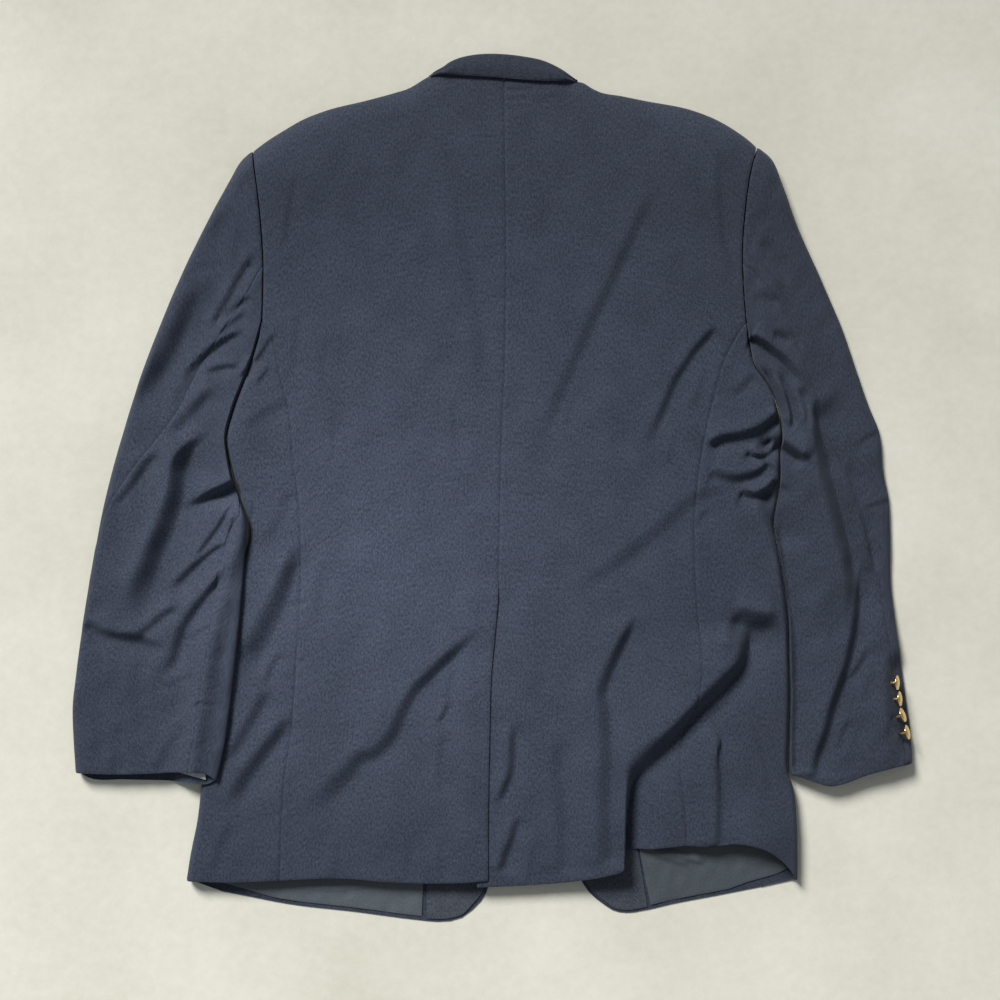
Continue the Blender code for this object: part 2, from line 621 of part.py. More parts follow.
def add_cloth(name, cloth, wall, look, gap=SEAM_GAP / 2):
    """A closed wall of cloth from its outer face and the directions square to it."""
    outer, square = cloth
    inner = trimmed(outer - square * wall, gap)
    outer = trimmed(outer, gap)
    columns, rows = outer.shape[:2]
    vertices = np.concatenate([outer.reshape(-1, 3), inner.reshape(-1, 3)])
    at = lambda i, j, layer: layer * columns * rows + i * rows + j
    faces = []
    for i in range(columns - 1):
        for j in range(rows - 1):
            quad = [(i, j), (i + 1, j), (i + 1, j + 1), (i, j + 1)]
            faces.append([at(*corner, 0) for corner in quad])
            faces.append([at(*corner, 1) for corner in (quad[0], quad[3], quad[2], quad[1])])
    rim = [(i, 0) for i in range(columns)] + [(columns - 1, j) for j in range(1, rows)]
    rim += [(i, rows - 1) for i in range(columns - 2, -1, -1)]
    rim += [(0, j) for j in range(rows - 2, 0, -1)]
    for here, there in zip(rim, rim[1:] + rim[:1]):
        faces.append([at(*there, 0), at(*here, 0), at(*here, 1), at(*there, 1)])
    return add_solid(name, vertices, faces, look)


def flat_cloth(top, bottom, start, end, level):
    plan = coons(top, bottom, start, end)
    square = np.zeros(plan.shape[:2] + (3,))
    square[..., 2] = 1
    return lifted(plan, np.full(plan.shape[:2], level)), square


def body_side(away, centre, neck, shoulder, armhole, seam, edge, front_seam, hem_back, hem_side,
              front_edge, hem_front, lapel, height):
    """The back, side, front and lapel of one half of the body."""
    name = "left" if away < 0 else "right"
    wool = ((0.045, 0.055, 0.09), 0.9)
    arm, side = outline(armhole, ARMHOLE_ROWS), outline(seam, SEAM_ROWS + VENT_ROWS)
    neck, shoulder_line = outline(neck, NECK_COLUMNS), outline(shoulder, BACK_COLUMNS - NECK_COLUMNS)
    middle = joined(outline(centre[0], ARMHOLE_ROWS + SEAM_ROWS), outline(centre[1], VENT_ROWS))
    plan = coons(joined(neck, shoulder_line), outline(hem_back, BACK_COLUMNS), middle, joined(arm, side))
    add_cloth(f"back_{name}", back_cloth(plan, height, shoulder, away), WOOL, wool)

    rows = SEAM_ROWS + VENT_ROWS
    fronts = outline(front_seam, rows)
    add_cloth(
        f"side_{name}", side_cloth(side, outline(edge, rows), fronts, hem_side, away), WOOL, wool
    )

    fold, lapel_edge, lapel_top = lapel
    end = np.concatenate([arm[::2], fronts[::2]])
    plan = coons(
        shoulder_line[::2],
        outline(hem_front, (BACK_COLUMNS - NECK_COLUMNS) // 2),
        outline(front_edge, len(end) - 1),
        end,
    )
    front = front_height(fold, lapel_edge, lapel_top, away)
    points, square = front_cloth(plan, front, shoulder, away)
    top = extended(points[:, :2], -1, FRONT_TRIM - SEAM_GAP / 2), square[:, :2]
    rest = extended(points[:, 1:], 0, FRONT_TRIM - SEAM_GAP / 2), square[:, 1:]
    add_cloth(f"front_top_{name}", top, WOOL, wool, FRONT_TRIM)
    add_cloth(f"front_{name}", rest, WOOL, wool, FRONT_TRIM)
    plan = coons(
        outline(lapel_top, 5), outline([lapel_edge[-1], fold[-1]][::-1], 5),
        outline(fold, 8), outline(lapel_edge, 8),
    )
    square = np.zeros(plan.shape[:2] + (3,))
    square[..., 2] = 1
    add_cloth(f"lapel_{name}", (lifted(plan, np.full(plan.shape[:2], WOOL)), square), WOOL, wool)


def add_sleeve(name, shape, seams):
    """The top sleeve and the under sleeve, meeting at the hindarm and forearm seams."""
    wool = ((0.04, 0.05, 0.082), 0.9)
    down = np.linspace(0, 1, SLEEVE_ROWS + 1)
    knots = [place.down for place in seams]
    hindarm = sleeve_round(through([place.hindarm for place in seams], knots)(down))
    forearm = sleeve_round(through([place.forearm for place in seams], knots)(down))
    whole = 4 * ARC + 2 * FLAT
    for part, first, last, cells in (
        ("under", hindarm, forearm, 13),
        ("top", forearm, hindarm + whole, 17),
    ):
        share = np.linspace(0, 1, cells + 1)[:, None]
        cloth = sleeve_cloth(mixed(first, last, share), shape)
        add_cloth(f"sleeve_{part}_{name}", cloth, WOOL, wool, 0.35)


def cloth_tree(solid):
    """A built piece as a search tree, in chart millimetres."""
    corners = [vertex.co / MM + Vector((*MIDDLE, 0)) for vertex in solid.data.vertices]
    return BVHTree.FromPolygons(corners, [polygon.vertices for polygon in solid.data.polygons])


def shank_length(place, out, radius, cloth):
    """How far a button's shank reaches back before it meets the cloth."""
    around = out.orthogonal().normalized()
    rim = [Matrix.Rotation(turn, 3, out) @ around * radius for turn in np.linspace(0, 2 * np.pi, 13)]
    for length in np.arange(0.5, 16, 0.1):
        spots = [place - out * length + offset for offset in rim]
        if min(tree.find_nearest(spot)[3] for spot in spots for tree in cloth) < SHANK_GAP:
            return length
    return 1.5


def add_button(name, button, cloth):
    """A domed metal button on a shank that reaches back to the cloth."""
    radius = BUTTON_SIZE / 2
    facing, tilt = np.radians(button.facing), np.radians(button.tilt)
    out = Vector((np.cos(tilt) * np.cos(facing), np.cos(tilt) * np.sin(facing), np.sin(tilt)))
    place = Vector((button.across, button.up, button.height)) - out * 1.1
    foot = -shank_length(place, out, 1.5, cloth)
    profile = [
        (0, foot), (1.5, foot), (1.5, -0.1), (radius - 1.4, 0.1), (radius, 0.9), (radius, 1.6),
        (radius - 1.0, 2.2), (radius * 0.5, 3.0), (0, 3.4),
    ]
    turn = out.to_track_quat("Z", "Y").to_matrix()
    vertices, faces = [], []
    for reach, rise in profile:
        count = 1 if reach == 0 else BUTTON_SIDES
        for k in range(count):
            angle = 2 * np.pi * k / BUTTON_SIDES
            point = turn @ Vector((reach * np.cos(angle), reach * np.sin(angle), rise))
            vertices.append(tuple(point + place))
    ring = lambda step, k: 1 + step * BUTTON_SIDES + k % BUTTON_SIDES
    rings, last = len(profile) - 2, len(vertices) - 1
    for k in range(BUTTON_SIDES):
        faces.append([0, ring(0, k + 1), ring(0, k)])
        for step in range(rings - 1):
            faces.append([ring(step, k), ring(step, k + 1), ring(step + 1, k + 1), ring(step + 1, k)])
        faces.append([ring(rings - 1, k), ring(rings - 1, k + 1), last])
    add_solid(name, vertices, faces, ((0.75, 0.55, 0.22), 0.3, 1.0))


def add_cuff_lining():
    """The lining inside the left cuff, where its lower layer shows."""
    top = np.linspace((-392.0, -236.0), (-303.0, -238.0), 11)
    hem = np.linspace((-398.0, -286.0), (-300.0, -289.0), 11)
    plan = coons(top, hem, np.linspace(top[0], hem[0], 5), np.linspace(top[-1], hem[-1], 5))
    level = over_body(plan) + WOOL + 1.6 + LINING
    cloth = lifted(plan, level), facing_up(over_body, plan)
    add_cloth("lining_cuff_left", cloth, LINING, ((0.5, 0.52, 0.55), 0.5))


def add_hem_inside(name, facing, hem, side, away):
    """The facing and lining inside a front where they show below the back hem."""
    level = WOOL + LAYER_GAP
    hem = through(graded(hem))
    split = facing[-1][0]
    shares = np.linspace(0, 1, 200)
    rim = hem(shares)
    at = shares[np.abs(rim[:, 0] - split).argmin()]
    first = hem(np.linspace(0.03, at - 0.01, 6)) + (0, 3.0)
    second = hem(np.linspace(at + 0.01, 0.97, 12)) + (0, 10.0)
    top = facing[0][1]
    start = np.array([[first[0][0] - 2 * away, top], first[0]])
    inner = np.array(facing[0], float)
    plan_top = np.linspace(start[0], inner, 6)
    lines = lambda a, b, n: np.linspace(a, b, n)
    wall = flat_cloth(plan_top, first, lines(start[0], first[0], 5), lines(inner, first[-1], 5),
                      level + LINING)
    add_cloth(f"facing_{name}", wall, LINING, ((0.05, 0.06, 0.09), 0.9))
    gap = np.array([0.6 * away, 0])
    far = np.array([second[-1][0], top])
    plan_top = np.linspace(inner + gap, far, 12)
    wall = flat_cloth(plan_top, second, lines(inner + gap, second[0], 5), lines(far, second[-1], 5),
                      level + LINING)
    add_cloth(f"lining_{name}", wall, LINING, ((0.3, 0.33, 0.4), 0.5))


def build():
    body_side(
        -1, (CENTRE_SEAM, VENT_OVER), NECK_LEFT, SHOULDER_LEFT, ARMHOLE_LEFT, SIDE_BACK_SEAM_LEFT,
        SIDE_EDGE_LEFT, SIDE_FRONT_SEAM_LEFT, BACK_HEM_LEFT, SIDE_HEM_LEFT, FRONT_EDGE_LEFT,
        FRONT_HEM_LEFT, (LAPEL_FOLD_LEFT, LAPEL_EDGE_LEFT, LAPEL_TOP_LEFT), vent_height,
    )
    body_side(
        1, (CENTRE_SEAM, VENT_UNDER), NECK_RIGHT, SHOULDER_RIGHT, ARMHOLE_RIGHT,
        SIDE_BACK_SEAM_RIGHT, SIDE_EDGE_RIGHT, SIDE_FRONT_SEAM_RIGHT, BACK_HEM_RIGHT, SIDE_HEM_RIGHT,
        FRONT_EDGE_RIGHT, FRONT_HEM_RIGHT, (LAPEL_FOLD_RIGHT, LAPEL_EDGE_RIGHT, LAPEL_TOP_RIGHT),
        back_height,
    )
    left = (
        [(x - 1.2, y) for x, y in ARMHOLE_LEFT], CUFF_LEFT, CUFF_LOWER_LEFT,
        outline(SLEEVE_OUTER_LEFT, SLEEVE_ROWS), outline(SLEEVE_INNER_LEFT, SLEEVE_ROWS),
        sleeve_height_left, over_body, -1,
    )
    right = (
        [(x + 1.2, y) for x, y in ARMHOLE_RIGHT], CUFF_RIGHT, CUFF_RIGHT,
        outline(SLEEVE_OUTER_RIGHT, SLEEVE_ROWS), outline(SLEEVE_INNER_RIGHT, SLEEVE_ROWS),
        sleeve_height_right, on_floor, 1,
    )
    add_sleeve("left", left, SLEEVE_SEAMS_LEFT)
    add_sleeve("right", right, SLEEVE_SEAMS_RIGHT)
    add_hem_inside("left", FACING_LEFT, FRONT_HEM_LEFT, -300, -1)
    add_hem_inside("right", FACING_RIGHT, FRONT_HEM_RIGHT, 300, 1)
    add_cuff_lining()
    cloth = [cloth_tree(bpy.data.objects[f"sleeve_{part}_right"]) for part in ("top", "under")]
    for number, button in enumerate(BUTTONS, start=1):
        add_button(f"cuff_button_{number}", button, cloth)
    add_cloth("collar", collar_cloth(), COLLAR_WALL, ((0.035, 0.045, 0.075), 0.9))


for item in list(bpy.data.objects):
    bpy.data.objects.remove(item, do_unlink=True)
build()
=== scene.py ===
"""The looks of a navy blazer that lies on its front on a pale floor, seen from straight above.

Each piece of cloth is a thin shell on the form of its solid, with the creases, seams and hems that
the garment shows. The tables are in millimetres: across to the right and up towards the collar,
from the middle of the space that the garment covers.
"""

from __future__ import annotations

import logging
import math
from collections.abc import Callable, Sequence
from dataclasses import dataclass, field
from enum import Enum

import bpy
import numpy as np
from mathutils import Matrix, Vector
from mathutils.bvhtree import BVHTree

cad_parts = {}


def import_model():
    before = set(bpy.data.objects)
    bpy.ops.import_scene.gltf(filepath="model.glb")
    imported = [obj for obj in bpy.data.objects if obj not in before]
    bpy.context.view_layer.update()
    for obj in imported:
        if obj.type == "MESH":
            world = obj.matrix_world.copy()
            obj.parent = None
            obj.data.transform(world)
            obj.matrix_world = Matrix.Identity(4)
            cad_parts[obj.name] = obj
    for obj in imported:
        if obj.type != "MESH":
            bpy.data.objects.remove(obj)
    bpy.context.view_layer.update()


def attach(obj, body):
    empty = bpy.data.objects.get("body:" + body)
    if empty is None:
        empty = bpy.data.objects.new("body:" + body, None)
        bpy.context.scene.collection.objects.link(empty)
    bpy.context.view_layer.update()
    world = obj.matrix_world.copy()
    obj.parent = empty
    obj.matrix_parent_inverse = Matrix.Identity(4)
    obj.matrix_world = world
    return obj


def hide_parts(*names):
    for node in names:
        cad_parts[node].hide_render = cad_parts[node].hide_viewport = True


LOG = logging.getLogger("blazer")

MM = 0.001
MIDDLE = (-0.2, 0.9)
PHOTO_MIDDLE = (7.0, -10.0)
WALL = 1.2
LINING_WALL = 0.6
SHOULDER_EDGE = 9.0
SHOULDER_REACH = 24.0
SIDE_REACH = 7.0
SLEEVE_REACH = 8.0
TIGHT_REACH = 3.5
SLEEVE_GAP = 1.2
SEAM_GAP = 0.04
FLAT_GAP = 0.3
VENT_LIFT = 2.5
VENT_TOP = -84.0
VENT_WIDTH = 20.0
VENT_FADE = 24.0
LEAST_LOFT = 3.2
GRID = 2.5
SLEEVE_GRID = 2.2
FLAT_GRID = 9.0
HEM_DEPTH = 33.0
HEM_MARK = 0.12
LIGHT_WAY = (-0.53, 0.85)
UP = np.array([0.0, 0.0, 1.0])

Rows = Sequence[tuple[float, float]]
Height = Callable[[np.ndarray], np.ndarray]

# Outlines of the cut pieces, as they lie: across, up
CENTRE_SEAM: Rows = (
    (11, 418), (12, 321), (13, 276), (13, 230), (12, 142), (9, 60), (7, -10), (6, -70), (5, -112),
)
VENT_OVER: Rows = (
    (5, -112), (1, -153), (-2, -189), (-3, -225), (-4, -270), (-5, -330), (-5, -390),
)
VENT_UNDER: Rows = (
    (5, -112), (-5, -153), (-12, -189), (-14, -225), (-15, -270), (-16, -330), (-16, -397),
)
NECK_LEFT: Rows = ((11, 418), (-6, 419), (-28, 419), (-48, 417.5), (-63, 415))
NECK_RIGHT: Rows = ((11, 418), (34, 417), (56, 414.5), (70, 412), (82, 409.5))
SHOULDER_LEFT: Rows = (
    (-63, 415), (-70, 411), (-77, 406.5), (-85, 402), (-96, 398.5), (-127, 390), (-167, 380),
    (-192, 370), (-209, 360), (-225, 350), (-240, 339),
)
SHOULDER_RIGHT: Rows = (
    (82, 409.5), (91, 407.5), (98, 403), (106, 399), (129, 394.5), (151, 390), (200, 380),
    (225, 370), (242, 360), (256, 350), (264, 343),
)
ARMHOLE_LEFT: Rows = ((-240, 339), (-235, 305), (-231, 266), (-229, 232), (-229, 200), (-230, 168))
ARMHOLE_RIGHT: Rows = (
    (264, 343), (257, 322), (253, 300), (250, 272), (248, 238), (249, 205), (252, 167),
)
SIDE_BACK_SEAM_LEFT: Rows = (
    (-230, 168), (-219, 148), (-214, 120), (-206, 90), (-202, 65), (-200, 34), (-194, -13),
    (-192, -60), (-193, -110), (-196, -160), (-202, -243), (-208, -287), (-211, -330), (-213, -390),
)
SIDE_BACK_SEAM_RIGHT: Rows = (
    (252, 167), (240, 148), (230, 127), (220, 91), (211, 52), (204, 6), (201, -40), (202, -85),
    (205, -127), (207, -173), (203, -210), (190, -247), (187, -277), (191, -311), (194, -355),
)
SIDE_EDGE_LEFT: Rows = (
    (-233, 155), (-239, 136), (-247, 113), (-260, 77), (-266, 50), (-263, 32), (-258, 11),
    (-252, -10), (-244, -34), (-245, -52), (-254, -80), (-266, -130), (-278, -190), (-287, -250),
    (-292, -295), (-296, -330), (-303, -365), (-307, -391),
)
SIDE_EDGE_RIGHT: Rows = (
    (254, 154), (257, 140), (261, 125), (273, 106), (285, 82), (288, 60), (287, 40), (286, 6),
    (283, -15), (280, -33), (283, -51), (289, -85), (294, -124), (295, -160), (296, -210),
    (295, -250), (295, -280), (301, -300), (304, -330), (305, -391),
)
SIDE_FRONT_SEAM_LEFT: Rows = (
    (-223, 156), (-221, 120), (-220, 60), (-219, 0), (-220, -60), (-226, -120), (-236, -190),
    (-248, -270), (-258, -340), (-271, -404),
)
SIDE_FRONT_SEAM_RIGHT: Rows = (
    (244, 155), (243, 120), (243, 60), (244, 0), (246, -60), (251, -130), (256, -200),
    (260, -280), (264, -340), (269, -399),
)
BACK_HEM_LEFT: Rows = ((-5, -390), (-28, -392), (-70, -393), (-113, -391), (-150, -388), (-213, -390))
BACK_HEM_RIGHT: Rows = (
    (-16, -397), (32, -395), (85, -390), (112, -384), (128, -378), (133, -364), (162, -359),
    (194, -355),
)
SIDE_HEM_LEFT: Rows = ((-213, -390), (-260, -392), (-307, -391))
SIDE_HEM_RIGHT: Rows = (
    (194, -355), (210, -356), (228, -354), (244, -353), (259, -355), (275, -361), (288, -370),
    (305, -391),
)
FRONT_EDGE_LEFT: Rows = (
    (-63, 415), (-50, 330), (-28, 220), (-8, 100), (4, 20), (7, -30), (8, -120), (8, -220),
    (7, -300), (4, -350), (-1, -385), (-9, -409), (-20, -421),
)
FRONT_EDGE_RIGHT: Rows = (
    (82, 409.5), (76, 330), (52, 220), (30, 100), (16, 20), (13, -30), (13, -90), (16, -150),
    (24, -200), (36, -250), (51, -305), (67, -350), (87, -390), (97, -405), (112, -417),
)
FRONT_HEM_LEFT: Rows = (
    (-20, -421), (-30, -429), (-42, -433), (-56, -434), (-77, -432), (-139, -424), (-207, -416),
    (-249, -408), (-271, -404),
)
FRONT_HEM_RIGHT: Rows = (
    (112, -417), (122, -423), (135, -425), (150, -423), (181, -416), (223, -408), (269, -399),
)
LAPEL_EDGE_LEFT: Rows = (
    (3, -34), (-6, -16), (-42, 30), (-96, 110), (-134, 190), (-150, 262), (-132, 300), (-100, 345),
    (-62, 385),
)
LAPEL_EDGE_RIGHT: Rows = (
    (17, -34), (28, -16), (66, 30), (120, 110), (158, 190), (174, 262), (157, 300), (126, 345),
    (88, 385),
)
COLLAR_FOLD: Rows = (
    (-64, 414.5), (-58, 418), (-50, 421.7), (-43, 426.5), (-34, 430.5), (-20, 433.6), (-6, 434.8),
    (12, 434.4), (30, 432.2), (50, 428), (68, 419.5), (77, 414), (85, 409.5),
)
COLLAR_FALL_EDGE: Rows = (
    (-61, 413), (-54, 413.6), (-45, 413.4), (-26, 412.5), (-1, 411), (35, 408), (60, 407),
    (74, 407), (82.5, 407.6),
)
SLEEVE_OUTER_LEFT: Rows = (
    (-240, 339), (-250, 330), (-262, 310), (-289, 260), (-304, 230), (-330, 170), (-353, 110),
    (-372, 50), (-388, -10), (-400, -70), (-410, -130), (-418, -190), (-421, -220), (-420, -250),
    (-418, -283),
)
SLEEVE_OUTER_RIGHT: Rows = (
    (264, 343), (277, 332), (288, 307), (302, 268), (327, 213), (350, 160), (364, 119), (378, 80),
    (386, 61), (391, 18), (396, -7), (398, -40), (399, -97), (403, -131), (410, -180), (415, -215),
    (419, -243), (420, -273),
)
SLEEVE_INNER_LEFT: Rows = (
    (-230.6, 168), (-234, 155), (-239.8, 135), (-247.9, 112), (-260.9, 77), (-267, 50),
    (-265.2, 32), (-260.4, 11), (-253, -10), (-244.7, -34), (-245.8, -52), (-248, -80),
    (-251, -118), (-255, -160), (-260, -200), (-267, -253), (-275, -289),
)
SLEEVE_INNER_RIGHT: Rows = (
    (253, 167), (255.2, 154), (258.2, 140), (262, 125), (274, 106), (285.9, 82), (288.8, 60),
    (287.8, 40), (286.8, 6), (283.8, -15), (280.8, -33), (283.8, -51), (289.8, -85), (294.8, -124),
    (295.8, -160), (296.8, -210), (295.8, -250), (296, -285),
)
CUFF_LEFT: Rows = (
    (-418, -283), (-372, -284), (-338, -283), (-311, -281), (-295, -281), (-284, -283), (-275, -289),
)
CUFF_LOWER_LEFT: Rows = (
    (-418, -283), (-407, -289), (-370, -291), (-326, -292), (-300, -293), (-284, -293), (-275, -289),
)
CUFF_RIGHT: Rows = (
    (420, -273), (394, -279), (373, -285), (352, -293), (338, -296), (321, -292), (306, -287),
    (297, -285),
)

FACING_LEFT: Rows = ((-67, -340), (-67, -396), (-69, -427))
FACING_RIGHT: Rows = ((141, -335), (145, -364), (157, -418))
FACING_EDGE_LEFT: Rows = ((0, -340), (-4, -383), (-12, -406), (-24, -420))
FACING_EDGE_RIGHT: Rows = ((66, -335), (90, -388), (100, -403), (115, -415))
CUFF_LINING_TOP: Rows = ((-392, -236), (-288, -238))
CUFF_LINING_EDGE: Rows = ((-398, -281), (-332, -281), (-317, -282), (-300, -285), (-286, -288.5))
LINING_FAR_LEFT: Rows = ((-262, -397), (-287, -391))
LINING_FAR_RIGHT: Rows = ((255, -394), (284, -386), (296, -380))


@dataclass(frozen=True)
class SeamPlace:
    """Where a sleeve's two seams lie at one place down its length.

    The shares run from the outer edge, 0 to 1 over the top and 1 to 2 back underneath.
    """

    down: float
    hindarm: float
    forearm: float


SLEEVE_SEAMS_LEFT = (
    SeamPlace(0.00, 0.55, 1.15), SeamPlace(0.18, 0.48, 1.15), SeamPlace(0.30, 0.37, 1.12),
    SeamPlace(0.37, 0.31, 1.05), SeamPlace(0.43, 0.24, 0.91), SeamPlace(0.50, 0.16, 0.79),
    SeamPlace(0.57, 0.09, 0.75), SeamPlace(0.66, -0.01, 0.718), SeamPlace(0.74, -0.08, 0.725),
    SeamPlace(0.85, -0.12, 0.715), SeamPlace(1.00, -0.15, 0.71),
)
SLEEVE_SEAMS_RIGHT = (
    SeamPlace(0.00, 0.54, 1.14), SeamPlace(0.10, 0.41, 1.13), SeamPlace(0.22, 0.38, 1.09),
    SeamPlace(0.33, 0.34, 1.02), SeamPlace(0.42, 0.31, 0.96), SeamPlace(0.54, 0.25, 0.93),
    SeamPlace(0.65, 0.16, 0.97), SeamPlace(0.73, 0.11, 1.00), SeamPlace(0.86, 0.10, 1.03),
    SeamPlace(1.00, 0.09, 1.04),
)


@dataclass(frozen=True)
class Loft:
    """Height of the cloth above the floor at one place up the garment."""

    up: float
    back: float
    sleeve: float


LOFTS = (
    Loft(-440, 15.5, 16.5), Loft(-250, 16.0, 16.5), Loft(-50, 16.5, 16.5), Loft(120, 17.5, 16.5),
    Loft(250, 19.5, 18.5), Loft(345, 21.0, 20.0), Loft(400, 18.5, 20.0), Loft(440, 16.5, 20.0),
)


@dataclass(frozen=True)
class Mound:
    """A low rise of the cloth over what lies beneath."""

    across: float
    up: float
    reach_across: float
    reach_up: float
    rise: float


@dataclass(frozen=True)
class Fold:
    """A step in the cloth: a steep flank that faces away from the light, with soft cloth on both sides.

    The line runs along the middle of the flank. The cloth above it, on the light's side, is raised by
    a share of the drop and dies away over the near reach; the cloth below is sunk and dies away over
    the far one. An overhang carries the upper cloth out over the lower. A crisp fold rolls over softly
    at the top of its flank and ends in a sharp crease at the foot; below 0 the sharp edge is at the top.
    """

    line: Rows
    drop: float
    width: float | tuple[float, ...]
    near: float = 16.0
    far: float = 18.0
    above: float = 0.4
    overhang: float = 0.0
    start: float = 0.2
    end: float = 0.2
    crisp: float = 0.35

    @property
    def away(self) -> int:
        """1 when the side away from the light is to the left of the line, else -1."""
        way = np.subtract(self.line[-1], self.line[0])
        return 1 if -way[1] * LIGHT_WAY[0] + way[0] * LIGHT_WAY[1] < 0 else -1


MOUNDS = (
    Mound(-196, 318, 62, 44, 6), Mound(216, 322, 62, 44, 6),
    Mound(258, -352, 40, 34, 7), Mound(262, 78, 24, 30, 4), Mound(-246, 62, 20, 40, 4),
    Mound(390, -235, 22, 60, 4), Mound(272, 44, 6, 7, -9), Mound(291, 153, 8, 7, -2),
    Mound(-104, -60, 90, 150, 2), Mound(96, -30, 70, 120, 1.5),
)
BACK_FOLDS = (
    Fold(((-6, -130), (-30, -152), (-50, -170), (-66, -186), (-78, -198), (-90, -218), (-102, -244),
          (-118, -261), (-134, -267), (-146, -281), (-160, -295), (-176, -311), (-190, -332)),
         7.5, (9, 15, 24), 34, 34),
    Fold(((-45, -210), (-49, -222), (-56, -234)), 3.2, 5, 8, 8),
    Fold(((-50, -238), (-54, -268), (-55, -308)), 1.5, 8, 14, 14),
    Fold(((-40, -176), (-44, -192), (-46, -210)), 1.4, 7, 12, 12),
    Fold(((-4, -200), (-14, -204), (-24, -212)), 0.8, 5, 8, 8),
    Fold(((-156, -345), (-157, -366), (-158, -388)), 0.9, 8, 12, 12, end=0.05),
    Fold(((-86, -345), (-86, -366), (-87, -390)), 0.9, 8, 12, 12, end=0.05),
    Fold(((-54, -345), (-54, -366), (-53, -390)), 0.9, 8, 12, 12, end=0.05),
    Fold(((-42, 305), (-37, 268), (-30, 232), (-25, 199), (-18, 160), (-15, 132), (-20, 95)),
         2.4, 15, 24, 24),
    Fold(((-41, 96), (-40, 60), (-38, 20)), 1.0, 9, 16, 16),
    Fold(((-197, 318), (-203, 285), (-207, 260), (-213, 234)), 1.3, 7, 13, 13),
    Fold(((-196, 182), (-198, 150), (-203, 110)), 1.3, 9, 12, 12),
    Fold(((-169, 154), (-171, 128), (-172, 100)), 1.0, 7, 12, 12),
    Fold(((-160, 92), (-161, 56), (-163, 18)), 1.1, 9, 14, 14),
    Fold(((-172, -68), (-174, -98), (-178, -130)), 1.1, 9, 14, 14),
    Fold(((-216, 170), (-217, 184), (-222, 176)), 0.5, 4, 6, 6),
    Fold(((162, 304), (151, 283), (141, 262), (131, 240), (120, 215), (108, 190), (98, 170),
          (89, 150), (80, 130), (72, 110), (64, 92), (57, 76), (48, 56), (38, 40), (26, 22)),
         4.0, (12, 15), 26, 30, start=0.15, end=0.3),
    Fold(((84, 106), (76, 84), (70, 56)), 1.0, 10, 14, 14),
    Fold(((222, 340), (223, 305), (225, 275), (229, 246), (236, 222), (243, 203)), 2.4, 9, 14, 15),
    Fold(((46, 284), (49, 268), (51, 250)), 0.8, 6, 10, 10),
    Fold(((15, 280), (17, 256), (16, 214)), 0.8, 4, 6, 8),
    Fold(((224, 166), (212, 153), (199, 138), (190, 124), (182, 112), (176, 98), (170, 84),
          (163, 68), (157, 54), (146, 42)), 5.6, (7, 11), 18, 22, start=0.1, end=0.3),
    Fold(((214, 128), (206, 104), (196, 76)), 1.4, 9, 10, 12),
    Fold(((182, 62), (178, 44), (172, 20)), 1.2, 9, 12, 12),
    Fold(((262, 10), (240, 6), (217, 0), (198, -10), (178, -26), (158, -44), (138, -60), (116, -76),
          (94, -90), (76, -112)), 3.4, (14, 18), 24, 26, above=0.5, start=0.08, end=0.25),
    Fold(((140, -122), (135, -137), (128, -151), (118, -172), (111, -189), (107, -203), (109, -222),
          (110, -250), (108, -290), (107, -330), (107, -378)), 8.5, (8, 13, 16, 18, 18), 22, 28,
         start=0.1, end=0.05, crisp=0.5),
    Fold(((64, -244), (62, -270), (64, -295), (67, -345), (65, -384)), 3.0, 14, 18, 20, end=0.05),
    Fold(((19, -230), (18, -262), (16, -284), (10, -298), (3, -318)), 6, 9, 12, 14, crisp=0.5),
    Fold(((23, -324), (18, -346), (12, -361), (6, -382)), 6, 10, 12, 14, end=0.1, crisp=0.5),
    Fold(((40, -350), (34, -394)), 1.1, 7, 10, 10, end=0.05),
    Fold(((157, -312), (157, -357)), 0.8, 3, 6, 6, end=0.05),
    Fold(((249, -130), (249, -152), (246, -169), (230, -188), (202, -216), (174, -245), (155, -262),
          (139, -279), (134, -300), (132, -320), (131, -345), (130, -400)), 21,
         (18, 18, 18, 21, 18, 18, 24, 28, 9, 5, 4, 4, 4), 40, 26, above=0.5, overhang=2.0, start=0.08,
         end=0.03, crisp=0.6),
    Fold(((236, -124), (248, -127), (263, -131), (280, -133), (292, -132)), 16, 22, 22, 30,
         above=0.4, start=0.22, end=0.35, crisp=-0.5),
    Fold(((240, -208), (228, -216), (214, -224)), 2.0, 10, 12, 12),
    Fold(((205, -232), (216, -238), (225, -250), (223, -264), (224, -292), (224, -316), (222, -356)),
         6.5, (3, 8, 10), 16, 22, overhang=2.0, end=0.03),
    Fold(((257, -226), (264, -252), (271, -280), (276, -308)), 1.8, 4, 10, 12),
    Fold(((193, -298), (202, -295), (212, -294)), 1.0, 3, 5, 5),
    Fold(((210, -305), (211, -352)), 1.0, 8, 10, 10, end=0.05),
    Fold(((12, 401), (26, 400), (42, 402)), 1.6, 3, 5, 5),
    Fold(((12, 392), (24, 391), (38, 394)), 1.6, 3, 5, 5),
    Fold(((11, 383), (22, 382), (32, 385)), 1.2, 3, 5, 5),
    Fold(((30, 384), (48, 390), (70, 398)), 0.7, 5, 7, 7),
)
